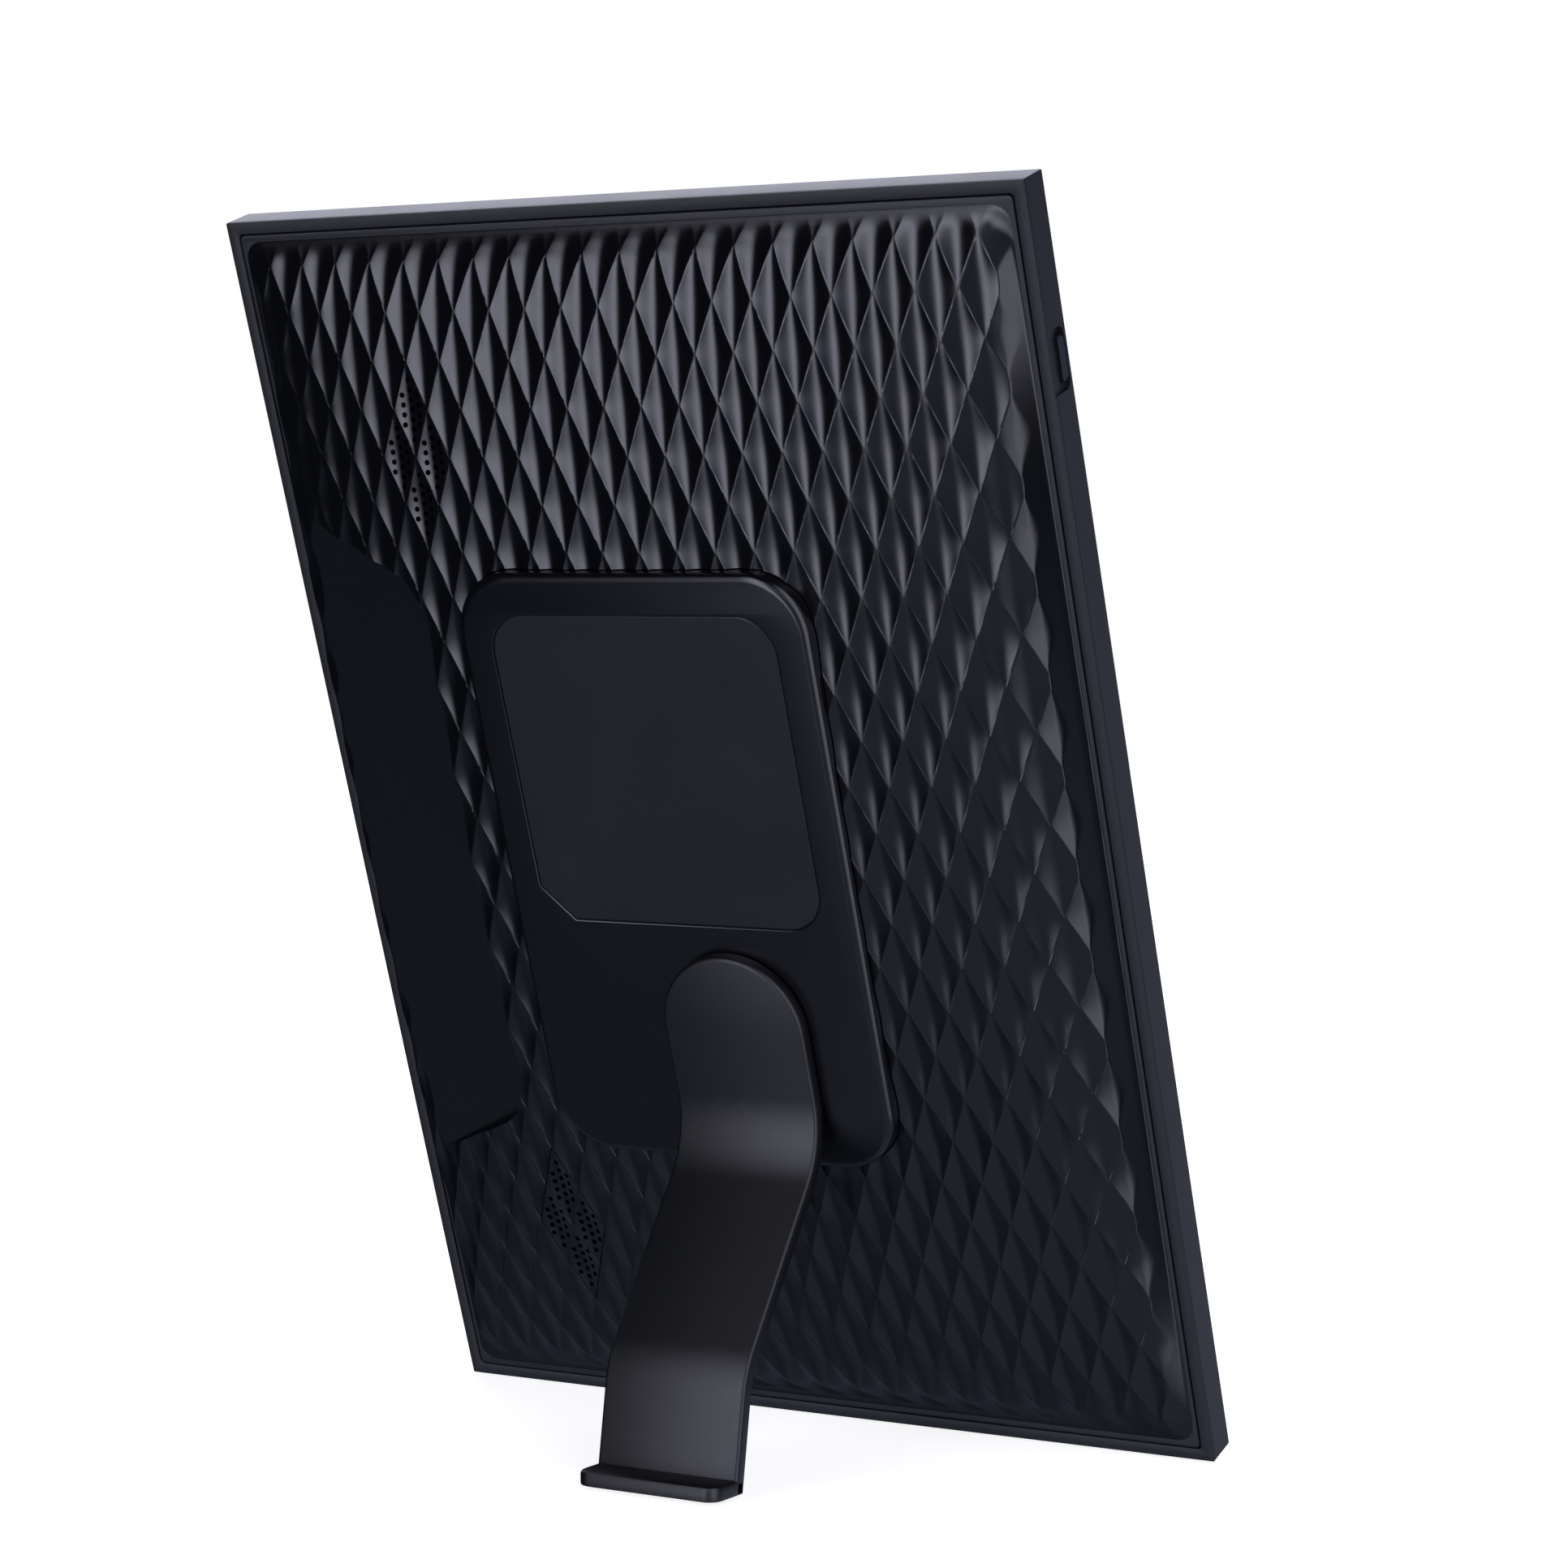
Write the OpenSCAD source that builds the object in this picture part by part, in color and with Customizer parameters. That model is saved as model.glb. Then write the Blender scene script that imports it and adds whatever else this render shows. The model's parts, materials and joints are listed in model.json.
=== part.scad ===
// Digital photo frame, ten inch class, standing in portrait on a bent slide-on stand.
// Panel coordinates: X across, Y towards the back, Z up along the panel.
// Y = 0 is the back face of the rim and Z = 0 its bottom edge; posed() leans the panel back.

/* [Frame] */
// Width of the frame in portrait
body_w = 180; // [176:1:196]
// Height of the frame in portrait
body_h = 262; // [258:1:280]
// Depth of the rim, from its front to its back face
rim_depth = 7.7; // [7.5:0.1:11]
// Thickness of the rim wall
rim_wall = 2.5; // [2:0.1:3.2]
// Outer corner radius of the rim
rim_corner = 0.8; // [0.4:0.1:2]
// Gap between the rim and the back cover
cover_gap = 0.3; // [0.2:0.05:0.5]
// Lean of the panel from upright
lean = 19.3; // [12:0.1:24]

/* [Screen] */
// Thickness of the front glass
glass_t = 1.1; // [0.7:0.1:1.4]
// Gap round the front glass
glass_gap = 0.12; // [0.05:0.01:0.3]
// How far the glass lies below the front edge of the rim
glass_sink = 0.1; // [0:0.05:0.3]
// Thickness of the tape behind the glass
tape_t = 0.15; // [0.1:0.05:0.3]
// Width of the tape
tape_w = 4; // [2:0.5:6]
// Thickness of the bezel ledge that carries the glass
ledge_t = 1.4; // [1:0.1:1.8]
// Dark border down each side of the picture
border_side = 22.2; // [21:0.1:26]
// Dark border above and below the picture
border_end = 22.5; // [21:0.1:30]
// How much wider the display module is than the picture
module_extra_w = 13.5; // [10:0.1:14]
// How much taller the display module is than the picture
module_extra_h = 12.5; // [10:0.1:14]
// Thickness of the display glass
cell_t = 1.2; // [0.8:0.1:1.5]
// Depth of the backlight tray
tray_t = 1.8; // [1.6:0.1:2.2]
// Sheet thickness of the backlight tray
tray_sheet = 0.3; // [0.2:0.05:0.5]
// Thickness of the light guide
guide_t = 0.9; // [0.6:0.1:1]

/* [Back cover] */
// Wall of the back cover
cover_wall = 1.8; // [1.4:0.1:2.4]
// Thickness of the flat flange round the cover
flange_t = 1.8; // [1.2:0.1:2.4]
// Width of the flat flange down the long sides
flange_side = 2.2; // [1.5:0.1:4]
// Width of the flat flange along the top and bottom
flange_end = 0.9; // [0.6:0.1:3]
// Rise of the dome above the rim
dome_rise = 18; // [16:0.5:22]
// How far the dome's ellipse runs past the cover's long sides
dome_over = 4; // [3:0.5:8]
// Width of one diamond of the relief
cell_w = 8.42; // [7.5:0.01:10]
// Height of one diamond of the relief
cell_h = 18.8; // [17:0.1:21]
// Depth of the scoop in each diamond
scoop = 1.1; // [0.5:0.1:1.4]
// Width of the raised middle
boss_w = 80; // [76:1:86]
// Height of the raised middle
boss_h = 125; // [118:1:132]
// Level of the raised middle above the rim
boss_level = 17.8; // [17:0.1:20]
// Corner radius of the raised middle
boss_corner = 13; // [8:1:18]
// Chamfer round the raised middle
boss_chamfer = 1.2; // [0.6:0.1:1.6]

/* [Connector bay] */
// Level of the bay floor above the rim
bay_level = 7.2; // [6.8:0.1:8]
// Distance of the bay wall from the panel's middle
bay_wall_x = 50.3; // [49.5:0.1:52]
// Half height of the straight part of the bay wall
bay_straight = 49; // [44:1:54]
// Corner radius of the bay
bay_corner = 14; // [10:1:18]
// Slope of the bay's upper and lower walls
bay_slope = 24; // [18:1:30]

/* [Speakers] */
// Column of the relief that the speaker grilles are centred on
grille_col = 5.5; // [5.5:1:5.5]
// Row of the relief that the speaker grilles are centred on
grille_row = 4.5; // [4.5:1:4.5]
// Gap round a grille
grille_gap = 0.2; // [0.1:0.05:0.3]
// Skin thickness of a grille
grille_skin = 1.4; // [1:0.1:1.8]
// Diameter of the grille holes
grille_hole = 1.1; // [0.8:0.1:1.2]
// Length of a speaker
speaker_l = 30; // [26:1:32]
// Width of a speaker
speaker_w = 18; // [15:1:19]
// Depth of a speaker
speaker_t = 3.6; // [3:0.1:4]

/* [Label] */
// Side of the square rating label
label_w = 64.4; // [50:0.1:68]
// Thickness of the rating label
label_t = 0.2; // [0.1:0.05:0.3]
// Radius of the label's three round corners
label_corner = 8; // [4:0.5:10]
// Size of the label's cut corner
label_cut = 7; // [4:0.5:10]
// Height of the label's middle above the panel's middle
label_rise = 21.7; // [19:0.1:24]

/* [Stand] */
// Distance of the stand's pivot from the bottom edge and from the long edge
pivot_reach = 99; // [96:1:102]
// Width of the stand leg
leg_w = 32; // [30:1:34]
// Thickness of the stand leg
leg_t = 3; // [3:0.1:3.6]
// Gap between the leg's head and the cover
leg_gap = 0.3; // [0.25:0.05:0.5]
// Length of the head above and below the pivot
head_run = 14; // [13:1:18]
// Angle of the leg away from the panel
leg_angle = 54.5; // [50:0.5:58]
// Radius of the upper bend, at mid thickness
upper_bend = 19.5; // [16:0.5:24]
// Straight length between the bends
leg_run = 36; // [30:1:40]
// Angle of the lower leg away from the panel
foot_angle = 28.5; // [22:0.5:34]
// Radius of the lower bend, at mid thickness
lower_bend = 18.5; // [14:0.5:24]
// Length of the foot lip behind the heel
lip_l = 10.5; // [8:0.5:16]
// Corner radius of the foot lip
lip_corner = 3; // [1.5:0.5:4]
// Thickness of the rubber pad under the foot
pad_t = 1; // [0.8:0.1:1.4]
// How far the pad stands below the foot
pad_proud = 0.3; // [0.2:0.1:0.5]
// Diameter of the pivot shaft
pivot_d = 22; // [20:0.5:24]
// Radial clearance of the pivot shaft
pivot_fit = 0.08; // [0.03:0.01:0.1]
// Length of the rail that the leg slides on
rail_l = 20; // [18:1:22]
// Width of the rail's neck
rail_neck = 11; // [9:0.5:12]
// Width of the rail's head
rail_head = 16; // [15:0.5:18]
// Clearance round the rail
rail_fit = 0.15; // [0.1:0.01:0.2]

/* [Electronics] */
// Thickness of the sheet-metal chassis
chassis_t = 0.8; // [0.6:0.1:1]
// Level of the main board's front face above the rim
board_level = 6.4; // [5:0.1:6.6]
// Thickness of the main board
board_t = 1.2; // [1:0.1:1.6]
// Width of the main board
board_w = 38; // [36:1:40]
// Length of the main board
board_l = 88; // [86:1:96]
// Shank diameter of the small screws
screw_d = 2; // [1.8:0.1:2.2]
// Head diameter of the small screws
screw_head_d = 3.8; // [3.4:0.1:4]
// Height of the small screws' heads
screw_head_t = 1; // [0.8:0.1:1.2]
// Clearance round the screws in the parts that they hold
screw_fit = 0.2; // [0.1:0.05:0.3]

/* [Buttons] */
// Height of the power button above the bottom edge
button_z = 227.4; // [215:0.1:232]
// Length of the power button
button_l = 9; // [7:0.5:10]
// Width of the power button
button_w = 2.4; // [1.8:0.1:2.6]
// Travel of the power button
button_travel = 0.5; // [0.3:0.1:0.6]
// Length of the thumb notch beside the power button
notch_l = 12; // [11:0.5:14]
// Depth of the thumb notch
notch_d = 1.2; // [0.8:0.1:1.3]
// Clearance round the power button
button_fit = 0.12; // [0.08:0.01:0.2]
// Travel of the reset plunger
reset_travel = 0.3; // [0.2:0.05:0.4]

/* [Hidden] */
$fn = 48;
eps = 0.01;
plastic = "#1b1d22";
leg_plastic = "#1e2025";
metal = "silver";
board_green = "#12442c";
chip_black = "#18191b";
white_plastic = "ivory";

mid_z = body_h / 2;
pivot_x = body_w / 2 - pivot_reach;
cover_half_w = body_w / 2 - rim_wall - cover_gap;
cover_half_h = body_h / 2 - rim_wall - cover_gap;
dome_half_w = cover_half_w - flange_side;
dome_half_h = cover_half_h - flange_end;
dome_axis_w = dome_half_w + dome_over;

// Stack of the screen, from the front
front_y = -rim_depth;
glass_y = front_y + glass_sink;
tape_y = glass_y + glass_t;
ledge_y = tape_y + tape_t;
cell_y = ledge_y + ledge_t;
tray_y = cell_y + cell_t;
shelf_y = -flange_t;
chassis_y = tray_y + tray_t;
chassis_top = chassis_y + chassis_t;
view_w = body_w - 2 * border_side;
view_h = body_h - 2 * border_end;
lcd_w = view_w + module_extra_w;
lcd_h = view_h + module_extra_h;
glass_half_w = body_w / 2 - rim_wall + 0.4;
glass_half_h = body_h / 2 - rim_wall + 0.4;
module_gap = 0.4;
rib_w = 1.2;
shelf_w = 2.8;
shelf_in_w = cover_half_w + cover_gap - shelf_w;
shelf_in_h = cover_half_h + cover_gap - shelf_w;
chassis_screw_x = (lcd_w / 2 + module_gap + rib_w + shelf_in_w) / 2;
chassis_screw_rise = [-82, -30, 30, 82];
chassis_half_w = dome_half_w - cover_wall - 0.5;
chassis_half_h = lcd_h / 2 + 1;
boss_d = 5;

// Main board, with its ports in the bay wall
bay_inner_x = bay_wall_x - cover_wall;
board_x1 = bay_inner_x - 0.5;
board_x0 = board_x1 - board_w;
board_z0 = mid_z - 37;
board_top = board_level + board_t;
board_hole_in = 3.2;
jack_z = board_z0 + 10;
jack_t = 5.2;
jack_w = 9;
jack_l = 11;
jack_nose_d = 4.8;
jack_bore_d = 3.6;
jack_pin_d = 1.3;
jack_sink = 1;
jack_y = board_top - jack_sink + jack_t / 2;
reset_z = jack_z + 12;
reset_y = board_top + 1.1;
usb_z = jack_z + 24;
usb_w = 7.5;
usb_t = 2.6;
card_z = jack_z + 50;
card_w = 14.4;
card_t = 1.9;
port_gap = 0.2;
cable_x = board_x1 - 4;

// Grilles and speakers
grille_x = grille_col * cell_w;
grille_dz = grille_row * cell_h;
collar_w = 1.2;
flange_plate = 0.8;
grille_base = 6;
hole_step = 1.95;
hole_col = 1.85;
speaker_y = grille_base - 1.2 - speaker_t;
gasket_t = grille_base - speaker_y - speaker_t;
ear_reach = speaker_l / 2 + 2.6;
ear_d = 5;
ear_t = 1.2;

// Pivot and leg
hub_shoulder_d = pivot_d + 5;
hub_shoulder_t = 0.8;
bore_boss_d = pivot_d + 8;
bore_boss_end = boss_level - 4.2;
bearing_d = pivot_d + 4;
shaft_end = bore_boss_end - 0.4;
retainer_t = 1.5;
hub_screw_r = 7;
hub_screw_l = 3;
washer_t = 0.3;
head_y = boss_level + leg_gap;
slot_lip = 0.85;
slot_room = 1.1;
slot_floor = head_y + slot_lip;
rail_flange_y = slot_floor + rail_fit;
rail_flange_t = slot_room - 2 * rail_fit;
leg_mid_y = head_y + leg_t / 2;
bend_z = pivot_reach - head_run;

// Power button
button_y = -5.3;
notch_end = 6.7;
notch_bevel = 1.6;
chamber_l = 15;
chamber_in = shelf_in_w;
button_face = body_w / 2 - 0.1;
button_wall_in = cover_half_w + cover_gap;
button_plate_t = 0.8;
button_plate_l = button_l + 2.2;
switch_y = cell_y + 0.8;
switch_w = 4.6;
switch_l = 4;
switch_t = 1.9;
plunger_y = switch_y + switch_t / 2;
plunger_w = 2.2;
plunger_t = 1.1;
plunger_out = 0.8;
plunger_fit = 0.1;
switch_x = button_wall_in - 3.4;
button_board_t = 0.8;

// How far the leaned panel reaches back, and the shift that centres it over the origin
crest = max([for (j = [0:13]) let (x = j % 2 * cell_w / 2, dz = j * cell_h / 2)
    dome(x, dz) * cos(lean) + (mid_z + dz) * sin(lean)]);
y_shift = -(crest - rim_depth * cos(lean)) / 2;

// ---------- helpers ----------

// Leans the panel back and puts the origin under the middle of the frame
module posed() {
    translate([0, y_shift, 0])
    rotate([-lean, 0, 0])
    children();
}

// A slab given by its X, Y and Z limits
module slab(x0, x1, y0, y1, z0, z1) {
    translate([x0, y0, z0])
    cube([x1 - x0, y1 - y0, z1 - z0]);
}

// Extrudes an outline drawn in X and Z from y0 to y1
module plate(y0, y1) {
    translate([0, y1, 0])
    rotate([90, 0, 0])
    linear_extrude(height = y1 - y0)
    children();
}

// A cylinder along Y
module rod(x, z, y0, y1, d) {
    translate([x, y1, z])
    rotate([90, 0, 0])
    cylinder(h = y1 - y0, d = d);
}

// A rectangle with round corners about (x, z)
module round_rect(x, z, half_w, half_h, r) {
    translate([x, z])
    union() {
        square([2 * half_w, 2 * (half_h - r)], center = true);
        square([2 * (half_w - r), 2 * half_h], center = true);
        for (sx = [-1, 1], sz = [-1, 1])
            translate([sx * (half_w - r), sz * (half_h - r)])
            circle(r = r);
    }
}

// Points of an arc from angle a to angle b
function arc(cx, cy, r, a, b, steps = 8) =
    [for (i = [0:steps]) let (t = a + (b - a) * i / steps) [cx + r * cos(t), cy + r * sin(t)]];

// A pan-head screw along Y, with its head's seat at y and its shank towards -Y
module screw_in(x, z, y, length, d = screw_d) {
    union() {
        rod(x, z, y, y + screw_head_t, screw_head_d);
        rod(x, z, y - length, y + eps, d);
    }
}

// ---------- back cover surface ----------

// Height of the smooth dome; dz is measured from the panel's middle
function bulge(t) = sqrt(max(0, 1 - t * t));
function dome(x, dz, rise = dome_rise, ax = dome_axis_w, az = dome_half_h) =
    rise * bulge(x / ax) * bulge(dz / az);

// Depth of the relief below the dome: zero on the diamonds' corners, deepest in their middles
function off_centre(t) = t - floor(t) - 0.5;
function relief(x, dz) =
    let (p = off_centre(x / cell_w + dz / cell_h), q = off_centre(x / cell_w - dz / cell_h))
    scoop * (1 - 2 * (p * p + q * q));
function skin(x, dz) = max(0, dome(x, dz) - relief(x, dz));

// A closed solid over a grid of heights h[i][j] at xs[i], zs[j], with its flat base at base_y
module height_solid(xs, zs, h, base_y) {
    nx = len(xs);
    nz = len(zs);
    top = [for (i = [0:nx - 1], j = [0:nz - 1]) [xs[i], h[i][j], zs[j]]];
    low = [for (i = [0:nx - 1], j = [0:nz - 1]) [xs[i], base_y, zs[j]]];
    n = nx * nz;
    // The diagonal of each square runs between its two higher corners
    up = [for (i = [0:nx - 2], j = [0:nz - 2])
        let (a = i * nz + j, b = a + nz, c = b + 1, d = a + 1)
        each (h[i][j] + h[i + 1][j + 1] > h[i + 1][j] + h[i][j + 1])
            ? [[a, c, d], [a, b, c]] : [[a, b, d], [d, b, c]]];
    rim = concat([for (j = [0:nz - 1]) j], [for (i = [1:nx - 1]) i * nz + nz - 1],
        [for (j = [nz - 2:-1:0]) (nx - 1) * nz + j], [for (i = [nx - 2:-1:1]) i * nz]);
    m = len(rim);
    sides = [for (k = [0:m - 1]) let (a = rim[k], b = rim[(k + 1) % m]) each [[a, n + b, n + a], [a, b, n + b]]];
    polyhedron(points = concat(top, low), faces = concat(up, sides, [[for (k = [0:m - 1]) n + rim[k]]]));
}

// Grid lines at every half diamond, finished by the dome's own edge
half_cols = floor((dome_half_w - 0.3) / (cell_w / 2));
half_rows = floor((dome_half_h - 2.5) / (cell_h / 2));
grid_x = concat([-dome_half_w], [for (i = [-half_cols:half_cols]) i * cell_w / 2], [dome_half_w]);
end_rise = (dome_half_h + half_rows * cell_h / 2) / 2;
grid_z = concat([-dome_half_h, -end_rise], [for (j = [-half_rows:half_rows]) j * cell_h / 2],
    [end_rise, dome_half_h]);

module dome_solid() {
    h = [for (i = [0:len(grid_x) - 1]) [for (j = [0:len(grid_z) - 1])
        (i == 0 || i == len(grid_x) - 1 || j == 0 || j == len(grid_z) - 1) ? 0
        : (j == 1 || j == len(grid_z) - 2) ? dome(grid_x[i], grid_z[j])
        : skin(grid_x[i], grid_z[j])]];
    translate([0, 0, mid_z])
    height_solid(grid_x, grid_z, h, -flange_t);
}

// The room inside the dome, one wall and one scoop below the smooth surface
room_rise = dome_rise - cover_wall - scoop;
function room(x, dz) = dome(x, dz, room_rise, dome_axis_w - cover_wall, dome_half_h - cover_wall);

module dome_room() {
    xs = [for (i = [-7:7]) (dome_half_w - cover_wall) * sin(90 * i / 7)];
    zs = [for (j = [-8:8]) (dome_half_h - cover_wall - 0.5) * sin(90 * j / 8)];
    h = [for (i = [0:len(xs) - 1]) [for (j = [0:len(zs) - 1]) room(xs[i], zs[j])]];
    translate([0, 0, mid_z])
    height_solid(xs, zs, h, -flange_t - 1);
}

// Outline of the connector bay, grown by g, open towards the long edge
module bay_outline(g) {
    wall_x = bay_wall_x - g;
    r = bay_corner + g;
    far_x = body_w / 2;
    turn = 90 - bay_slope;
    end_x = wall_x + r - r * cos(turn);
    end_z = bay_straight + r * sin(turn);
    far_z = end_z + (far_x - end_x) * tan(bay_slope);
    upper = concat(arc(wall_x + r, mid_z + bay_straight, r, 180, 180 - turn), [[far_x, mid_z + far_z]]);
    lower = concat([[far_x, mid_z - far_z]], arc(wall_x + r, mid_z - bay_straight, r, 180 + turn, 180));
    polygon(concat(upper, lower));
}

// Rhombus about a grille's middle, grown by g
module rhombus(x, z, g) {
    grow = g / sin(atan(cell_w / cell_h));
    half_w = cell_w + grow * cell_w / cell_h;
    half_h = cell_h + grow;
    translate([x, z])
    polygon([[half_w, 0], [0, half_h], [-half_w, 0], [0, -half_h]]);
}

// The cover's flange, dome and raised middle, with everything under it filled
module cover_outer() {
    difference() {
        union() {
            plate(-flange_t, 0)
            round_rect(0, mid_z, cover_half_w, cover_half_h, rim_corner);
            dome_solid();
            plate(0, boss_level - boss_chamfer)
            round_rect(0, mid_z, boss_w / 2, boss_h / 2, boss_corner);
            hull() {
                plate(boss_level - boss_chamfer - eps, boss_level - boss_chamfer)
                round_rect(0, mid_z, boss_w / 2, boss_h / 2, boss_corner);
                plate(boss_level - eps, boss_level)
                round_rect(0, mid_z, boss_w / 2 - boss_chamfer, boss_h / 2 - boss_chamfer,
                    boss_corner - boss_chamfer);
            }
        }
        plate(bay_level, dome_rise + 1)
        bay_outline(0);
    }
}

module cover_room() {
    difference() {
        union() {
            dome_room();
            plate(0, boss_level - cover_wall - 0.4)
            round_rect(0, mid_z, boss_w / 2 - cover_wall, boss_h / 2 - cover_wall,
                boss_corner - cover_wall);
        }
        plate(bay_level - cover_wall, dome_rise + 1)
        bay_outline(cover_wall);
        // What is left standing in the room: the grilles' collars, the speakers' posts, the bearing's boss
        for (sz = [-1, 1]) {
            difference() {
                plate(grille_base + flange_plate, dome_rise)
                rhombus(grille_x, mid_z + sz * grille_dz, collar_w);
                plate(grille_base, dome_rise + 1)
                rhombus(grille_x, mid_z + sz * grille_dz, grille_gap);
            }
            for (se = [-1, 1])
                rod(grille_x, mid_z + sz * grille_dz + se * ear_reach, speaker_y + ear_t, dome_rise, ear_d,
                    $fn = 24);
        }
        rod(pivot_x, pivot_reach, bore_boss_end, dome_rise, bore_boss_d);
    }
}

// Ports through the bay wall
module port_holes() {
    reach = 2 * cover_wall + eps;
    x0 = bay_inner_x - cover_wall;
    translate([x0, jack_y, jack_z])
    rotate([0, 90, 0])
    cylinder(h = reach, d = jack_nose_d + 2 * port_gap);
    translate([x0, reset_y, reset_z])
    rotate([0, 90, 0])
    cylinder(h = reach, d = 1.4);
    slab(x0, x0 + reach, board_top - port_gap, board_top + usb_t + port_gap,
        usb_z - usb_w / 2 - port_gap, usb_z + usb_w / 2 + port_gap);
    slab(x0, x0 + reach, board_top + 0.2, board_top + card_t - 0.1, card_z - 6.2, card_z + 6.2);
}

// Snap tabs under the flange, which catch in windows of the bezel's shelf
tab_l = 8;
tab_t = 1.2;
tab_drop = 2.6;
tab_bump = 0.6;
tab_rise = [-78, 0, 78];
tab_cols = [-48, 48];
module side_tab(sx, dz) {
    x1 = shelf_in_w - 0.2;
    z0 = mid_z + dz - tab_l / 2;
    scale_x = sx;
    translate([scale_x < 0 ? -x1 : x1 - tab_t, 0, 0])
    slab(0, tab_t, shelf_y - tab_drop, shelf_y + eps, z0, z0 + tab_l);
    translate([scale_x < 0 ? -x1 - tab_bump : x1 - eps, 0, 0])
    slab(0, tab_bump + eps, shelf_y - tab_drop, shelf_y - tab_drop + 0.8, z0, z0 + tab_l);
}

module end_tab(x, sz) {
    z1 = shelf_in_h - 0.2;
    translate([0, 0, sz < 0 ? mid_z - z1 : mid_z + z1 - tab_t])
    slab(x - tab_l / 2, x + tab_l / 2, shelf_y - tab_drop, shelf_y + eps, 0, tab_t);
    translate([0, 0, sz < 0 ? mid_z - z1 - tab_bump : mid_z + z1 - eps])
    slab(x - tab_l / 2, x + tab_l / 2, shelf_y - tab_drop, shelf_y - tab_drop + 0.8, 0, tab_bump + eps);
}

// Windows in the shelf that the tabs catch in
module tab_windows() {
    g = 0.2;
    y0 = shelf_y - tab_drop - g;
    y1 = shelf_y - tab_drop + 0.8 + g;
    reach = tab_bump + 2 * g;
    for (sx = [-1, 1], dz = tab_rise)
        translate([sx * (shelf_in_w + reach / 2 - eps), (y0 + y1) / 2, mid_z + dz])
        cube([reach, y1 - y0, tab_l + 2 * g], center = true);
    for (x = tab_cols, sz = [-1, 1])
        translate([x, (y0 + y1) / 2, mid_z + sz * (shelf_in_h + reach / 2 - eps)])
        cube([tab_l + 2 * g, y1 - y0, reach], center = true);
}

module back_cover() {
    color(plastic)
    posed()
    // One faceted body: a sum with nothing else in it leaves the shell as it is
    minkowski()
    difference() {
        union() {
            difference() {
                cover_outer();
                cover_room();
            }
            for (sx = [-1, 1], dz = tab_rise)
                side_tab(sx, dz);
            for (x = tab_cols, sz = [-1, 1])
                end_tab(x, sz);
        }
        for (sz = [-1, 1]) {
            plate(grille_base, dome_rise)
            rhombus(grille_x, mid_z + sz * grille_dz, grille_gap);
            plate(grille_base - gasket_t, grille_base + flange_plate)
            rhombus(grille_x, mid_z + sz * grille_dz, collar_w);
            for (se = [-1, 1])
                rod(grille_x, mid_z + sz * grille_dz + se * ear_reach, speaker_y, speaker_y + ear_t + 4,
                    screw_d + screw_fit, $fn = 24);
        }
        rod(pivot_x, pivot_reach, bore_boss_end - 1, boss_level + 1, bearing_d + 0.1);
        rod(pivot_x, pivot_reach, boss_level - hub_shoulder_t - 0.05, boss_level + 1,
            hub_shoulder_d + 0.6);
        plate(boss_level - label_t - 0.1, boss_level + 1)
        label_outline(0.3);
        port_holes();
    }
}

// A grille's closed patch of relief: drop lowers it and grow widens it
module grille_patch(sz, grow, drop, base_y) {
    steps = 4;
    k = 1 + grow / (cell_w * cos(atan(cell_w / cell_h)));
    uv = [for (i = [0:steps]) -1 + 2 * i / steps];
    pts = [for (u = uv, v = uv) [k * cell_w * (u - v) / 2, k * cell_h * (u + v) / 2]];
    cx = grille_x;
    cz = sz * grille_dz;
    top = [for (p = pts) [cx + p[0], skin(cx + p[0], cz + p[1]) - drop, mid_z + cz + p[1]]];
    low = [for (p = pts) [cx + p[0], base_y, mid_z + cz + p[1]]];
    w = steps + 1;
    n = w * w;
    up = [for (i = [0:steps - 1], j = [0:steps - 1]) let (a = i * w + j, b = a + w)
        each [[a, b + 1, a + 1], [a, b, b + 1]]];
    rim = concat([for (j = [0:steps]) j], [for (i = [1:steps]) i * w + steps],
        [for (j = [steps - 1:-1:0]) steps * w + j], [for (i = [steps - 1:-1:1]) i * w]);
    m = len(rim);
    sides = [for (q = [0:m - 1]) let (a = rim[q], b = rim[(q + 1) % m])
        each [[a, n + b, n + a], [a, b, n + b]]];
    polyhedron(points = concat(top, low), faces = concat(up, sides, [[for (q = [0:m - 1]) n + rim[q]]]));
}

// Holes of one diamond, in columns of four, seven and four
module diamond_holes(x, z) {
    for (i = [-3:3])
        rod(x, z + i * hole_step, grille_base - 1, dome_rise, grille_hole);
    for (side = [-1, 1], i = [-1.5:1.5])
        rod(x + side * hole_col, z + i * hole_step, grille_base - 1, dome_rise, grille_hole);
}

module grille_body(sz) {
    z = mid_z + sz * grille_dz;
    difference() {
        union() {
            grille_patch(sz, 0, 0, grille_base);
            plate(grille_base, grille_base + flange_plate)
            rhombus(grille_x, z, collar_w - 0.2);
        }
        grille_patch(sz, -1, grille_skin, grille_base - 1);
        for (s = [-1, 1]) {
            diamond_holes(grille_x + s * cell_w / 2, z);
            diamond_holes(grille_x, z + s * cell_h / 2);
        }
    }
}

module speaker_grille_upper() {
    color(plastic)
    posed()
    grille_body(1);
}

module speaker_grille_lower() {
    color(plastic)
    posed()
    translate([0, 0, 2 * mid_z])
    mirror([0, 0, 1])
    grille_body(1);
}

// Square with three round corners and one cut corner, grown by g
module label_outline(g) {
    half = label_w / 2 + g;
    r = label_corner + g;
    cut = label_cut + g / 2;
    z = mid_z + label_rise;
    translate([0, z])
    polygon(concat(arc(half - r, half - r, r, 0, 90), arc(-half + r, half - r, r, 90, 180),
        arc(-half + r, -half + r, r, 180, 270), [[half - cut, -half], [half, -half + cut]]));
}

module rating_label() {
    color("#24262b")
    posed()
    plate(boss_level - label_t - 0.1, boss_level - 0.1)
    label_outline(0);
}

// ---------- front ----------

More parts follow.
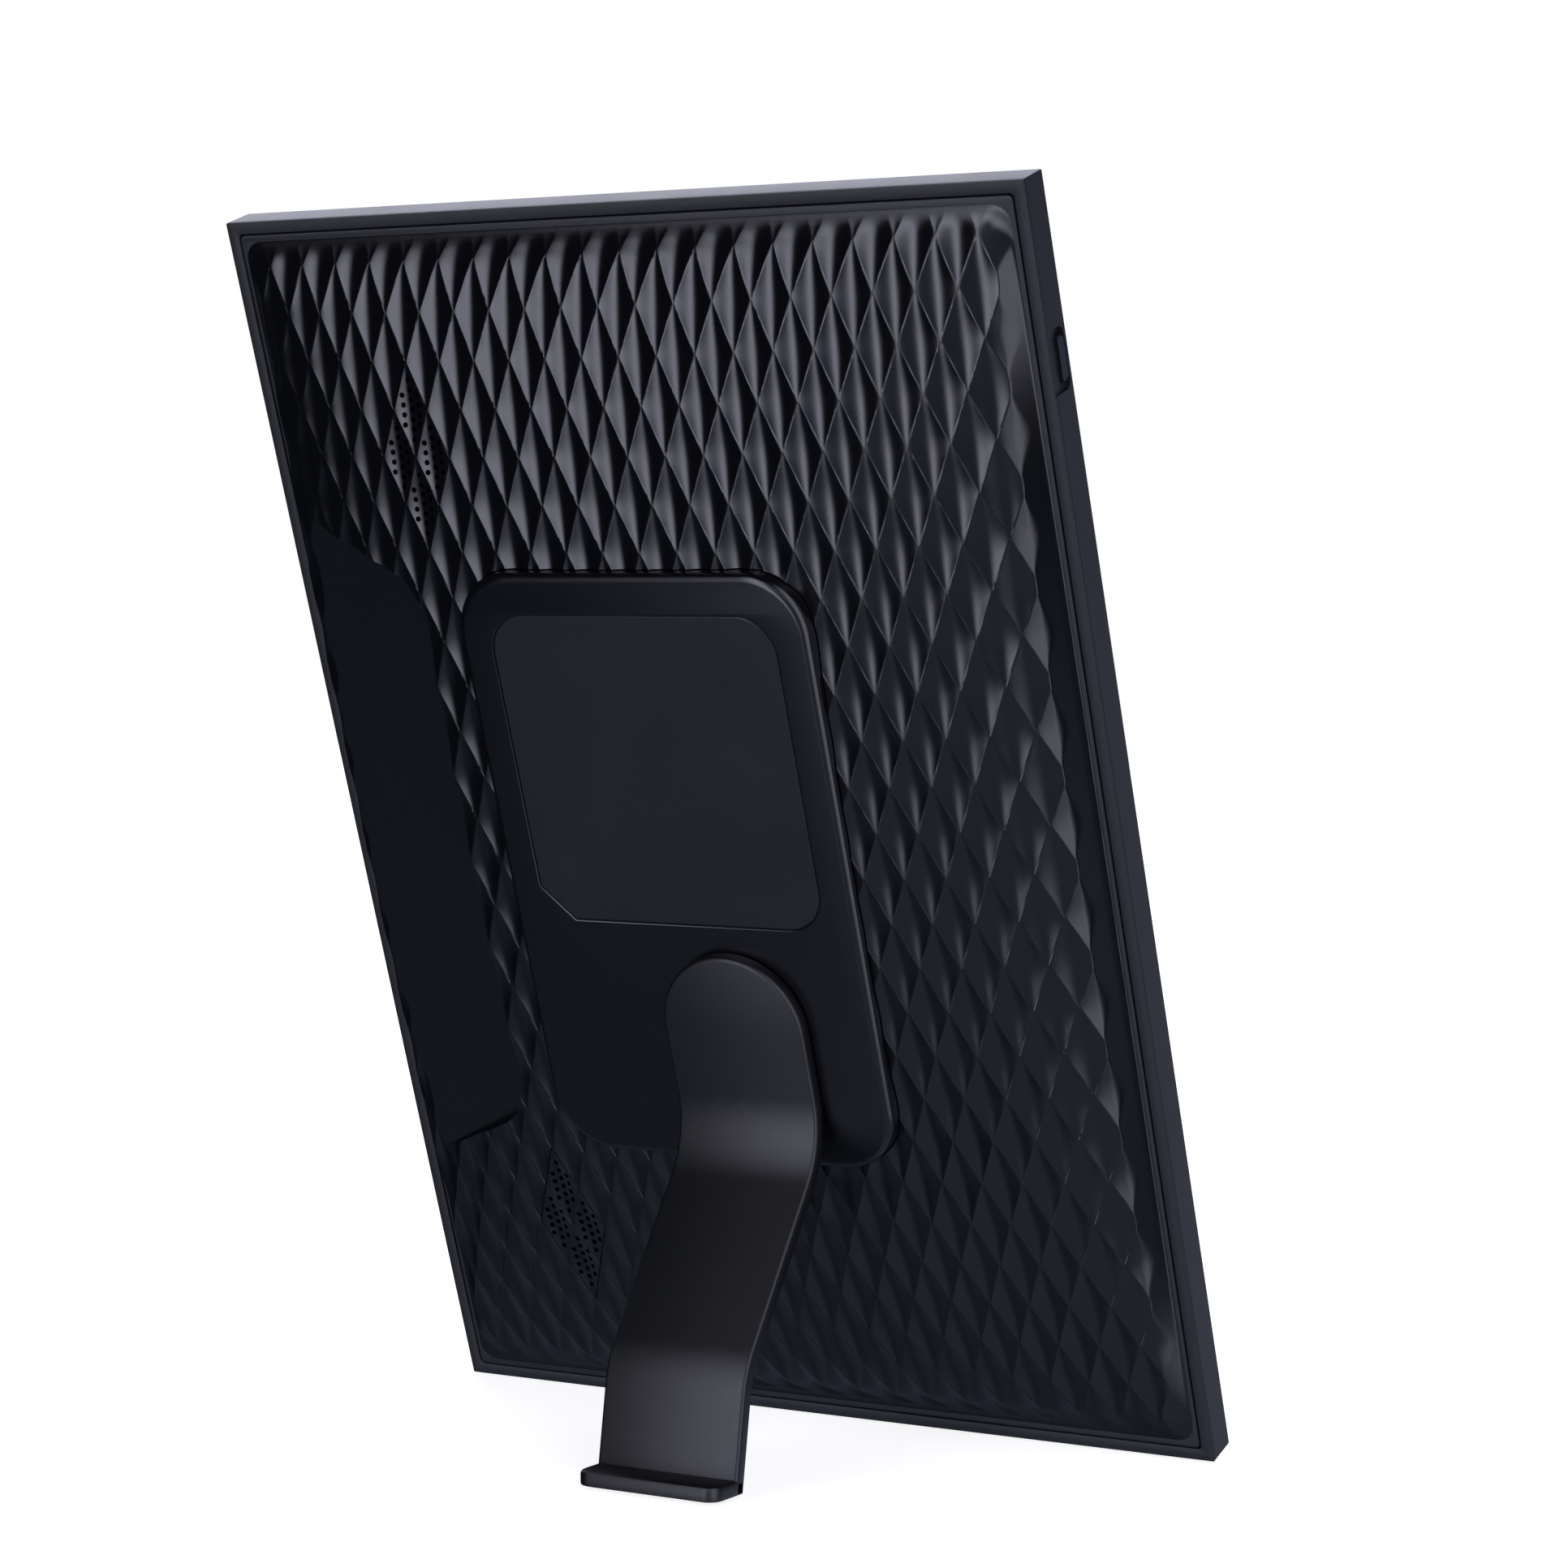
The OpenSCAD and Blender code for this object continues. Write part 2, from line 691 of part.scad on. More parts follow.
module front_bezel() {
    button_side = -1;
    color(plastic)
    posed()
    difference() {
        union() {
            difference() {
                plate(front_y, 0)
                round_rect(0, mid_z, body_w / 2, body_h / 2, rim_corner);
                // Seat of the glass
                plate(front_y - 1, ledge_y)
                round_rect(0, mid_z, glass_half_w + glass_gap, glass_half_h + glass_gap, rim_corner / 2);
                // Window
                plate(front_y - 1, 1)
                square_about(view_w / 2 + 1, view_h / 2 + 1);
                // Open back above the ledge, then the cover's seat
                plate(cell_y, 1)
                square_about(shelf_in_w, shelf_in_h);
                plate(shelf_y, 1)
                round_rect(0, mid_z, cover_half_w + cover_gap, cover_half_h + cover_gap, rim_corner);
            }
            // Corner ribs that hold the display
            for (sx = [-1, 1], sz = [-1, 1]) {
                x = lcd_w / 2 + module_gap;
                z = lcd_h / 2 + module_gap;
                translate([sx * (x + rib_w / 2), (cell_y + tray_y + 1) / 2, mid_z + sz * (z - 8)])
                cube([rib_w, tray_y + 1 - cell_y + 2 * eps, 18], center = true);
                translate([sx * (x - 10), (cell_y + tray_y + 1) / 2, mid_z + sz * (z + rib_w / 2)])
                cube([20 + 2 * rib_w, tray_y + 1 - cell_y + 2 * eps, rib_w], center = true);
            }
            for (sx = [-1, 1], dz = chassis_screw_rise)
                rod(sx * chassis_screw_x, mid_z + dz, cell_y - eps, chassis_y, boss_d);
        }
        for (sx = [-1, 1], dz = chassis_screw_rise)
            rod(sx * chassis_screw_x, mid_z + dz, cell_y + 0.2, chassis_y + 1, screw_d);
        tab_windows();
        // Thumb notch, which deepens from the back edge towards the button
        translate([button_side * body_w / 2, 0, button_z])
        notch_cut();
        // Chamber behind the wall, and the button's own window
        slab(-button_wall_in, -chamber_in + eps, ledge_y - eps, 1, button_z - chamber_l / 2, button_z + chamber_l / 2);
        slab(-button_face - 1, -button_wall_in + eps, button_y - button_w / 2 - button_fit,
            button_y + button_w / 2 + button_fit, button_z - button_l / 2 - button_fit,
            button_z + button_l / 2 + button_fit);
        // Slots for the flexes
        slab(lcd_w / 2 + module_gap + 2.2, lcd_w / 2 + module_gap + 3.4, ledge_y - 1, cell_y + 1,
            mid_z - 20, mid_z - 7);
    }
}

module square_about(half_w, half_h) {
    translate([-half_w, mid_z - half_h])
    square([2 * half_w, 2 * half_h]);
}

// The notch is a wedge: nothing at the back edge, notch_d deep beside the button
module notch_cut() {
    half = notch_l / 2;
    intersection() {
        translate([0, 0, -half])
        linear_extrude(height = notch_l)
        polygon([[-1, 1], [-notch_d / notch_end, 1], [notch_d, -notch_end], [-1, -notch_end]]);
        rotate([0, 90, 0])
        translate([0, 0, -2])
        linear_extrude(height = 6)
        polygon([[-half, 1], [half, 1], [half, notch_bevel - notch_end], [half - notch_bevel, -notch_end],
            [notch_bevel - half, -notch_end], [-half, notch_bevel - notch_end]]);
    }
}

module cover_glass() {
    color("#08090b")
    posed()
    plate(glass_y, tape_y)
    round_rect(0, mid_z, glass_half_w, glass_half_h, rim_corner / 2);
}

module glass_tape() {
    color("#222222")
    posed()
    plate(tape_y, ledge_y)
    difference() {
        square_about(view_w / 2 + 2 + tape_w, view_h / 2 + 2 + tape_w);
        square_about(view_w / 2 + 2, view_h / 2 + 2);
    }
}

module lcd_cell() {
    color("#101418")
    posed()
    plate(cell_y, tray_y)
    square_about(lcd_w / 2 - 0.4, lcd_h / 2 - 0.4);
}

module backlight_tray() {
    color(metal)
    posed()
    difference() {
        plate(tray_y, chassis_y)
        square_about(lcd_w / 2, lcd_h / 2);
        plate(tray_y - 1, chassis_y - tray_sheet)
        square_about(lcd_w / 2 - tray_sheet, lcd_h / 2 - tray_sheet);
    }
}

module light_guide() {
    color("white")
    posed()
    slab(-lcd_w / 2 + tray_sheet + 0.2, lcd_w / 2 - tray_sheet - 0.2, chassis_y - tray_sheet - guide_t,
        chassis_y - tray_sheet, mid_z - lcd_h / 2 + tray_sheet + 3.2, mid_z + lcd_h / 2 - tray_sheet - 0.2);
}

// A strip along the bottom of the tray, with its row of light-emitting diodes
strip_in = 4;
led_pitch = 5;
led_w = 3;
leds_a_side = floor((lcd_w / 2 - strip_in - led_w / 2) / led_pitch);
module led_strip() {
    z0 = mid_z - lcd_h / 2 + tray_sheet;
    y1 = chassis_y - tray_sheet;
    color("gold")
    posed()
    union() {
        slab(-lcd_w / 2 + strip_in, lcd_w / 2 - strip_in, y1 - guide_t, y1, z0, z0 + 1);
        for (i = [-leds_a_side:leds_a_side])
            slab(i * led_pitch - led_w / 2, i * led_pitch + led_w / 2, y1 - guide_t + 0.1, y1 - 0.1,
                z0 + 1 - eps, z0 + 2);
    }
}

// ---------- chassis ----------

standoff_x = [board_x0 + board_hole_in, board_x1 - board_hole_in];
standoff_z = [board_z0 + board_hole_in, board_z0 + board_l - board_hole_in];
standoff_d = 4.5;
function jack_side(x, z) = x > board_x0 + board_w / 2 && z < jack_z + jack_w;
standoffs = [for (x = standoff_x, z = standoff_z) jack_side(x, z) ? [x - jack_l - 2, z] : [x, z]];

swage_rise = 95;
swage_w = 6;
swage_x = [-60, 20];
module chassis_plate() {
    color(metal)
    posed()
    difference() {
        union() {
            plate(chassis_y, chassis_top)
            square_about(chassis_half_w, chassis_half_h);
            // Raised swages that stiffen the sheet
            for (s = [-1, 1])
                slab(swage_x[0], swage_x[1], chassis_top - eps, chassis_top + chassis_t - 0.2,
                    mid_z + s * swage_rise - swage_w / 2, mid_z + s * swage_rise + swage_w / 2);
        }
        for (s = [-1, 1])
            slab(swage_x[0] + chassis_t, swage_x[1] - chassis_t, chassis_y - 1, chassis_top - 0.2,
                mid_z + s * swage_rise - swage_w / 2 + chassis_t, mid_z + s * swage_rise + swage_w / 2 - chassis_t);
        for (sx = [-1, 1], dz = chassis_screw_rise)
            rod(sx * chassis_screw_x, mid_z + dz, chassis_y - 1, chassis_top + 1, screw_d + 2 * screw_fit);
        // Clear of the flexes and of the power switch
        slab(lcd_w / 2 + 0.4, chassis_half_w + 1, chassis_y - 1, chassis_top + 1, mid_z - 22, mid_z + 22);
        slab(-chassis_half_w - 1, -lcd_w / 2 - 0.4, chassis_y - 1, chassis_top + 1, button_z - 11, button_z + 11);
    }
}

module chassis_screws() {
    color(metal)
    posed()
    for (sx = [-1, 1], dz = chassis_screw_rise)
        screw_in(sx * chassis_screw_x, mid_z + dz, chassis_top, chassis_top - cell_y - 0.4);
}

module board_standoffs() {
    color("goldenrod")
    posed()
    for (s = standoffs)
        difference() {
            rod(s[0], s[1], chassis_top, board_level, standoff_d);
            rod(s[0], s[1], chassis_top + 1, board_level + 1, screw_d);
        }
}

// A ribbon along a path in X and Y, over a range of Z
ribbon_t = 0.2;
function unit(v) = v / norm(v);
function left_of(v) = [-v[1], v[0]];
function bend_normal(path, i) =
    unit(left_of(unit(path[min(i + 1, len(path) - 1)] - path[max(i - 1, 0)])));
module ribbon(path, z0, z1) {
    back = [for (i = [0:len(path) - 1]) path[i] + ribbon_t * bend_normal(path, i)];
    translate([0, 0, z0])
    linear_extrude(height = z1 - z0)
    polygon(concat(path, [for (i = [len(back) - 1:-1:0]) back[i]]));
}

module display_flex() {
    x = lcd_w / 2;
    color("#b5651d")
    posed()
    ribbon([[cable_x - 0.2, board_level - 1.2], [bay_inner_x + 2, chassis_top + 1.6], [x - 8, chassis_top + 0.8],
        [x + 1.4, chassis_top + 0.6], [x + 2.6, chassis_y - 0.4], [x + 2.6, tray_y], [x + 1.6, cell_y + 0.5],
        [x - 0.4, cell_y + 0.4]], mid_z, mid_z + 20);
}

module touch_flex() {
    x = lcd_w / 2 + module_gap + 2.7;
    color("#b5651d")
    posed()
    ribbon([[cable_x - 0.2, board_level - 1.2], [bay_inner_x + 2, chassis_top + 1.6], [x - 8, chassis_top + 0.8],
        [x - 1, chassis_top + 0.6], [x, chassis_y], [x, ledge_y + 0.5], [x - 0.2, tape_y + 0.05]],
        mid_z - 18, mid_z - 9);
}

// ---------- main board ----------

module main_board() {
    color(board_green)
    posed()
    difference() {
        slab(board_x0, board_x1, board_level, board_top, board_z0, board_z0 + board_l);
        for (s = standoffs)
            rod(s[0], s[1], board_level - 1, board_top + 1, screw_d + 2 * screw_fit);
        // The power jack is sunk into a notch
        slab(board_x1 - jack_l - port_gap, board_x1 + 1, board_level - 1, board_top + 1,
            jack_z - jack_w / 2 - port_gap, jack_z + jack_w / 2 + port_gap);
    }
}

module board_screws() {
    color(metal)
    posed()
    for (s = standoffs)
        screw_in(s[0], s[1], board_top, 5);
}

// A chip on the back face of the board; u and v are measured from the board's corner
module chip(u, v, w, l, t, shade) {
    color(shade)
    posed()
    slab(board_x0 + u, board_x0 + u + w, board_top, board_top + t, board_z0 + v, board_z0 + v + l);
}

module processor() {
    chip(11, 36, 14, 14, 1.3, chip_black);
}

module memory_chips() {
    for (i = [0, 1])
        chip(1.5, 31 + i * 14, 8, 11, 1, chip_black);
}

module storage_chip() {
    chip(12, 54, 9, 11.5, 1, chip_black);
}

module power_regulator() {
    chip(8, 20, 5, 5, 1, chip_black);
    chip(14.5, 18.5, 7, 7, 3, "dimgray");
}

module wifi_module() {
    chip(9, 70, 12, 12, 1.2, chip_black);
}

module shield_can() {
    color(metal)
    posed()
    difference() {
        slab(board_x0 + 7.5, board_x0 + 22.5, board_top, board_top + 2.4, board_z0 + 68.5, board_z0 + 83.5);
        slab(board_x0 + 7.8, board_x0 + 22.2, board_top - 1, board_top + 2.1, board_z0 + 68.8, board_z0 + 83.2);
    }
}

module board_connectors() {
    color(white_plastic)
    posed()
    union() {
        // Ribbon sockets on the front face
        slab(cable_x - 4, cable_x - 0.2, board_level - 1.6, board_level, mid_z - 0.5, mid_z + 20.5);
        slab(cable_x - 4, cable_x - 0.2, board_level - 1.6, board_level, mid_z - 18.5, mid_z - 8.5);
        // Wire headers on the back face
        slab(board_x0 + 2, board_x0 + 6, board_top, board_top + 3.2, board_z0 + 8, board_z0 + 16);
        slab(board_x0 + 2, board_x0 + 6, board_top, board_top + 3.2, board_z0 + 58, board_z0 + 66);
    }
}

// The antenna is a thin board taped to the bezel's ledge above the display
module wifi_antenna() {
    z0 = mid_z + lcd_h / 2 + module_gap + rib_w + 1;
    color("#3a3a20")
    posed()
    slab(-22, 22, cell_y, cell_y + 0.6, z0, z0 + 6);
}

module power_jack() {
    color(chip_black)
    posed()
    difference() {
        union() {
            slab(board_x1 - jack_l, board_x1, jack_y - jack_t / 2, jack_y + jack_t / 2,
                jack_z - jack_w / 2, jack_z + jack_w / 2);
            translate([board_x1 - eps, jack_y, jack_z])
            rotate([0, 90, 0])
            cylinder(h = 1.6, d = jack_nose_d);
        }
        translate([board_x1 - jack_l + 2, jack_y, jack_z])
        rotate([0, 90, 0])
        cylinder(h = jack_l + 2, d = jack_bore_d);
    }
}

module jack_pin() {
    color(metal)
    posed()
    translate([board_x1 - jack_l + 2, jack_y, jack_z])
    rotate([0, 90, 0])
    cylinder(h = jack_l - 2.5, d = jack_pin_d);
}

module usb_socket() {
    color(metal)
    posed()
    difference() {
        slab(board_x1 - 5.5, board_x1 + 0.8, board_top, board_top + usb_t, usb_z - usb_w / 2, usb_z + usb_w / 2);
        slab(board_x1 - 4.5, board_x1 + 2, board_top + 0.35, board_top + usb_t - 0.35,
            usb_z - usb_w / 2 + 0.35, usb_z + usb_w / 2 - 0.35);
    }
}

module card_socket() {
    color(metal)
    posed()
    difference() {
        slab(board_x1 - 14.6, board_x1, board_top, board_top + card_t, card_z - card_w / 2, card_z + card_w / 2);
        slab(board_x1 - 13.6, board_x1 + 1, board_top + 0.5, board_top + card_t - 0.3,
            card_z - 5.7, card_z + 5.7);
    }
}

module reset_switch() {
    color(metal)
    posed()
    difference() {
        slab(board_x1 - 3.6, board_x1 - 0.8, board_top, board_top + 2.2, reset_z - 2.2, reset_z + 2.2);
        slab(board_x1 - 2.4, board_x1, reset_y - 0.6, reset_y + 0.6, reset_z - 1.1, reset_z + 1.1);
    }
}

module reset_plunger() {
    color(white_plastic)
    posed()
    slab(board_x1 - 2.4 + reset_travel + 0.1, board_x1 - 0.2, reset_y - 0.5, reset_y + 0.5, reset_z - 1, reset_z + 1);
}

// ---------- speakers ----------

module speaker_outline() {
    run = (speaker_l - speaker_w) / 2;
    union() {
        square([speaker_w, 2 * run], center = true);
        for (s = [-1, 1])
            translate([0, s * run])
            circle(d = speaker_w);
    }
}

module speaker(sz) {
    z = mid_z + sz * grille_dz;
    color(chip_black)
    posed()
    difference() {
        union() {
            plate(speaker_y, speaker_y + speaker_t)
            translate([grille_x, z])
            speaker_outline();
            plate(speaker_y, speaker_y + ear_t)
            union() {
                translate([grille_x - ear_d / 2, z - ear_reach])
                square([ear_d, 2 * ear_reach]);
                for (s = [-1, 1])
                    translate([grille_x, z + s * ear_reach])
                    circle(d = ear_d);
            }
        }
        for (s = [-1, 1])
            rod(grille_x, z + s * ear_reach, speaker_y - 1, speaker_y + ear_t + 1, screw_d + 2 * screw_fit);
        // Shallow cone
        plate(speaker_y + speaker_t - 0.6, speaker_y + speaker_t + 1)
        translate([grille_x, z])
        scale((speaker_w - 4) / speaker_w)
        speaker_outline();
    }
}

module speaker_upper() {
    speaker(1);
}

module speaker_lower() {
    speaker(-1);
}

module speaker_gaskets() {
    color("#303030")
    posed()
    for (sz = [-1, 1])
        plate(speaker_y + speaker_t, grille_base)
        translate([grille_x, mid_z + sz * grille_dz])
        difference() {
            speaker_outline();
            scale((speaker_w - 4) / speaker_w)
            speaker_outline();
        }
}

module speaker_screws() {
    color(metal)
    posed()
    for (sz = [-1, 1], s = [-1, 1])
        translate([grille_x, 0, mid_z + sz * grille_dz + s * ear_reach])
        union() {
            rod(0, 0, speaker_y - screw_head_t, speaker_y, screw_head_d);
            rod(0, 0, speaker_y - eps, speaker_y + ear_t + 3.5, screw_d);
        }
}

// ---------- power button ----------

module button_board() {
    x1 = -switch_x;
    color(board_green)
    posed()
    slab(x1 + 0.2, x1 + 6, cell_y, cell_y + button_board_t, button_z - 8, button_z + 8);
}

module power_switch() {
    x0 = -switch_x;
    depth = plunger_out + button_travel;
    color(metal)
    posed()
    difference() {
        slab(x0, x0 + switch_l, switch_y, switch_y + switch_t, button_z - switch_w / 2, button_z + switch_w / 2);
        slab(x0 - 1, x0 + depth + 0.3, plunger_y - plunger_t / 2 - plunger_fit, plunger_y + plunger_t / 2 + plunger_fit,
            button_z - plunger_w / 2 - plunger_fit, button_z + plunger_w / 2 + plunger_fit);
    }
}

module switch_plunger() {
    x0 = -switch_x;
    color(white_plastic)
    posed()
    slab(x0 - plunger_out, x0 + plunger_out, plunger_y - plunger_t / 2, plunger_y + plunger_t / 2,
        button_z - plunger_w / 2, button_z + plunger_w / 2);
}

module power_button() {
    wall_in = -button_wall_in;
    plate_x = wall_in + 0.06;
    color(plastic)
    posed()
    union() {
        // Cap with rounded ends
        difference() {
            slab(-button_face, plate_x + eps, button_y - button_w / 2, button_y + button_w / 2,
                button_z - button_l / 2, button_z + button_l / 2);
            for (s = [-1, 1])
                translate([-button_face, button_y, button_z + s * button_l / 2])
                rotate([0, 45, 0])
                cube([0.9, button_w + 1, 0.9], center = true);
        }
        // Plate behind the wall that keeps the button in, and its pusher
        slab(plate_x, plate_x + button_plate_t, button_y - button_w / 2 - 0.3 + 0.5, shelf_y - 0.25,
            button_z - button_plate_l / 2, button_z + button_plate_l / 2);
        slab(plate_x + button_plate_t - eps, -switch_x - plunger_out, plunger_y - 0.6, plunger_y + 0.6,
            button_z - 1.4, button_z + 1.4);
    }
}

// ---------- stand ----------

module hub_screw_places() {
    for (a = [90, 210, 330])
        translate([pivot_x + hub_screw_r * cos(a), 0, pivot_reach + hub_screw_r * sin(a)])
        children();
}

module stand_hub() {
    color(plastic)
    posed()
    difference() {
        union() {
            rod(pivot_x, pivot_reach, shaft_end, boss_level, pivot_d);
            rod(pivot_x, pivot_reach, boss_level - hub_shoulder_t, boss_level, hub_shoulder_d);
            slab(pivot_x - rail_neck / 2, pivot_x + rail_neck / 2, boss_level - eps, rail_flange_y + eps,
                pivot_reach - rail_l / 2, pivot_reach + rail_l / 2);
            slab(pivot_x - rail_head / 2, pivot_x + rail_head / 2, rail_flange_y, rail_flange_y + rail_flange_t,
                pivot_reach - rail_l / 2, pivot_reach + rail_l / 2);
        }
        hub_screw_places()
        rod(0, 0, shaft_end - 1, shaft_end + hub_screw_l + 0.2, screw_d);
    }
}

// Bush that lines the cover's pivot hole
module pivot_bearing() {
    color("dimgray")
    posed()
    difference() {
        rod(pivot_x, pivot_reach, bore_boss_end, boss_level - hub_shoulder_t - 0.05, bearing_d);
        rod(pivot_x, pivot_reach, bore_boss_end - 1, boss_level + 1, pivot_d + 2 * pivot_fit);
    }
}

module hub_retainer() {
    color(metal)
    posed()
    difference() {
        rod(pivot_x, pivot_reach, shaft_end - retainer_t, shaft_end, bore_boss_d);
        hub_screw_places()
        rod(0, 0, shaft_end - retainer_t - 1, shaft_end + 1, screw_d + 2 * screw_fit);
        // Four notches that the washer's tongue falls into at each quarter turn
        for (a = [0, 90, 180, 270])
            translate([pivot_x, shaft_end, pivot_reach])
            rotate([0, a, 0])
            translate([bore_boss_d / 2 - 2, 0, 0])
            rotate([0, 0, 45])
            cube([0.8, 0.8, 6], center = true);
    }
}

module hub_screws() {
    color(metal)
    posed()
    hub_screw_places()
    union() {
        rod(0, 0, shaft_end - retainer_t - screw_head_t, shaft_end - retainer_t, screw_head_d);
        rod(0, 0, shaft_end - retainer_t - eps, shaft_end + hub_screw_l, screw_d);
    }
}

module detent_washer() {
    color(metal)
    posed()
    difference() {
        rod(pivot_x, pivot_reach, bore_boss_end - washer_t, bore_boss_end, bore_boss_d);
        rod(pivot_x, pivot_reach, bore_boss_end - washer_t - 1, bore_boss_end + 1, pivot_d + 1);
    }
}

// Mid line of the leg in Y and Z: heading(a) is 0 down the panel and turns towards the back
function heading(a) = [sin(a), -cos(a)];
function back_of(a) = [cos(a), sin(a)];
leg_p1 = [leg_mid_y, bend_z];
leg_p2 = leg_p1 + upper_bend * (back_of(0) - back_of(leg_angle));
leg_p3 = leg_p2 + leg_run * heading(leg_angle);
leg_p4 = leg_p3 + lower_bend * (back_of(foot_angle) - back_of(leg_angle));
// The front face runs on to the level pad_proud above the surface that the frame stands on
function level_of(p) = p[1] * cos(lean) - p[0] * sin(lean);
front_p4 = leg_p4 - leg_t / 2 * back_of(foot_angle);
foot_run = (level_of(front_p4) - pad_proud) / (cos(foot_angle) * cos(lean) + sin(foot_angle) * sin(lean));
heel = front_p4 + foot_run * heading(foot_angle);
leg_p5 = leg_p4 + foot_run * heading(foot_angle);
bend_steps = 10;

// One face of the leg, side = 1 for the back face and -1 for the front
function leg_face(side) =
    let (o = side * leg_t / 2)
    concat([[leg_mid_y + o, pivot_reach + leg_w]],
        [for (i = [0:bend_steps]) let (a = leg_angle * i / bend_steps)
            leg_p1 + upper_bend * back_of(0) - (upper_bend - o) * back_of(a)],
        [for (i = [0:bend_steps]) let (a = leg_angle + (foot_angle - leg_angle) * i / bend_steps)
            leg_p3 - lower_bend * back_of(leg_angle) + (lower_bend + o) * back_of(a)]);

// Level directions of the foot, in Y and Z of the panel
level_back = [cos(lean), sin(lean)];
level_up = [-sin(lean), cos(lean)];
function reverse(list) = [for (i = [len(list) - 1:-1:0]) list[i]];

module leg_profile() {
    back_end = leg_p4 + leg_t / 2 * back_of(foot_angle);
    // Where the back face meets the top of the lip
    run = (level_of(back_end) - pad_proud - leg_t) / (cos(foot_angle) * cos(lean) + sin(foot_angle) * sin(lean));
    crotch = back_end + run * heading(foot_angle);
    lip_end = heel + lip_l * level_back;
    polygon(concat(leg_face(1), [crotch, lip_end + leg_t * level_up, lip_end, heel], reverse(leg_face(-1))));
}

module stand_leg() {
    x = pivot_x;
    cut = rail_head + 2 * rail_fit;
    neck = rail_neck + 2 * rail_fit;
    z0 = pivot_reach - rail_l / 2 - rail_fit;
    z1 = pivot_reach + leg_w;
    color(leg_plastic)
    posed()
    difference() {
        intersection() {
            translate([x - leg_w, 0, 0])
            rotate([90, 0, 90])
            linear_extrude(height = 2 * leg_w)
            leg_profile();
            plate(0, body_h)
            union() {
                translate([x, pivot_reach])
                circle(d = leg_w);
                translate([x - leg_w / 2, -body_h])
                square([leg_w, body_h + pivot_reach]);
            }
            lip_plan();
        }
        // T slot for the rail, open at the top of the head
        slab(x - neck / 2, x + neck / 2, head_y - 1, slot_floor + eps, z0, z1);
        slab(x - cut / 2, x + cut / 2, slot_floor, slot_floor + slot_room, z0, z1);
        foot_place()
        translate([-pad_half_w - 0.1, 2, -1])
        cube([2 * pad_half_w + 0.2, lip_l - 3.4, 1 + pad_t - pad_proud]);
    }
}

pad_half_w = leg_w / 2 - 3;

// Puts children at the heel, with +Y level towards the back and +Z up
module foot_place() {
    translate([pivot_x, heel[0], heel[1]])
    rotate([lean, 0, 0])
    children();
}

// The leg seen from above the table, a little wide: its far corners round off the lip
module lip_plan() {
    r = lip_corner + 0.3;
    half = leg_w / 2 + 0.3;
    foot_place()
    translate([0, 0, -1])
    linear_extrude(height = body_h)
    union() {
        translate([-half, -body_h])
        square([2 * half, body_h + lip_l - r]);
        translate([r - half, -body_h])
        square([2 * (half - r), body_h + lip_l]);
        for (s = [-1, 1])
            translate([s * (half - r), lip_l - r])
            circle(r = r);
    }
}

module foot_pad() {
    color("#101010")
    posed()
    foot_place()
    translate([-pad_half_w, 2.1, -pad_proud])
    cube([2 * pad_half_w, lip_l - 3.6, pad_t]);
}

// ---------- nodes ----------

front_bezel();
cover_glass();
glass_tape();
lcd_cell();
light_guide();
backlight_tray();
led_strip();
chassis_plate();
chassis_screws();
display_flex();
touch_flex();
back_cover();
speaker_grille_upper();
speaker_grille_lower();
rating_label();
speaker_upper();
speaker_lower();
speaker_gaskets();
speaker_screws();
board_standoffs();
main_board();
board_screws();
processor();
memory_chips();
storage_chip();
power_regulator();
shield_can();
wifi_module();
wifi_antenna();
power_jack();
jack_pin();
usb_socket();
card_socket();
reset_switch();
reset_plunger();
board_connectors();
button_board();
power_switch();
switch_plunger();
power_button();
pivot_bearing();
stand_hub();
hub_retainer();
hub_screws();
detent_washer();
stand_leg();
foot_pad();
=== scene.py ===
import bmesh
import bpy
import json
import math
import numpy as np
from mathutils import Matrix, Vector
from mathutils.geometry import tessellate_polygon

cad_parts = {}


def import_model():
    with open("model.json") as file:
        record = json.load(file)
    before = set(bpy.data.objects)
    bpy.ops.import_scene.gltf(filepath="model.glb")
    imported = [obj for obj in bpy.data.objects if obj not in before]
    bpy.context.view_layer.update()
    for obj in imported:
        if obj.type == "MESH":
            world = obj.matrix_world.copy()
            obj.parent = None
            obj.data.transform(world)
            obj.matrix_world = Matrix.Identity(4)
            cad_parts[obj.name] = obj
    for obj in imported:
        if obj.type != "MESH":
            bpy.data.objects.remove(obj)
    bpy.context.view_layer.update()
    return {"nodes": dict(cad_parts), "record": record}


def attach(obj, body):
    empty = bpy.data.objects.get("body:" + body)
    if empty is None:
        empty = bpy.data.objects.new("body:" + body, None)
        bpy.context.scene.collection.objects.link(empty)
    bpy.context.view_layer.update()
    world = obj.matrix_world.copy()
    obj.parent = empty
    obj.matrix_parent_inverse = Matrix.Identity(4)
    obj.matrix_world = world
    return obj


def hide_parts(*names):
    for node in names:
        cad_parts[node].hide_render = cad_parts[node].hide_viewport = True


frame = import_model()
BODY = {n: b for b, ns in frame["record"]["behaviour"]["bodies"].items() for n in ns}

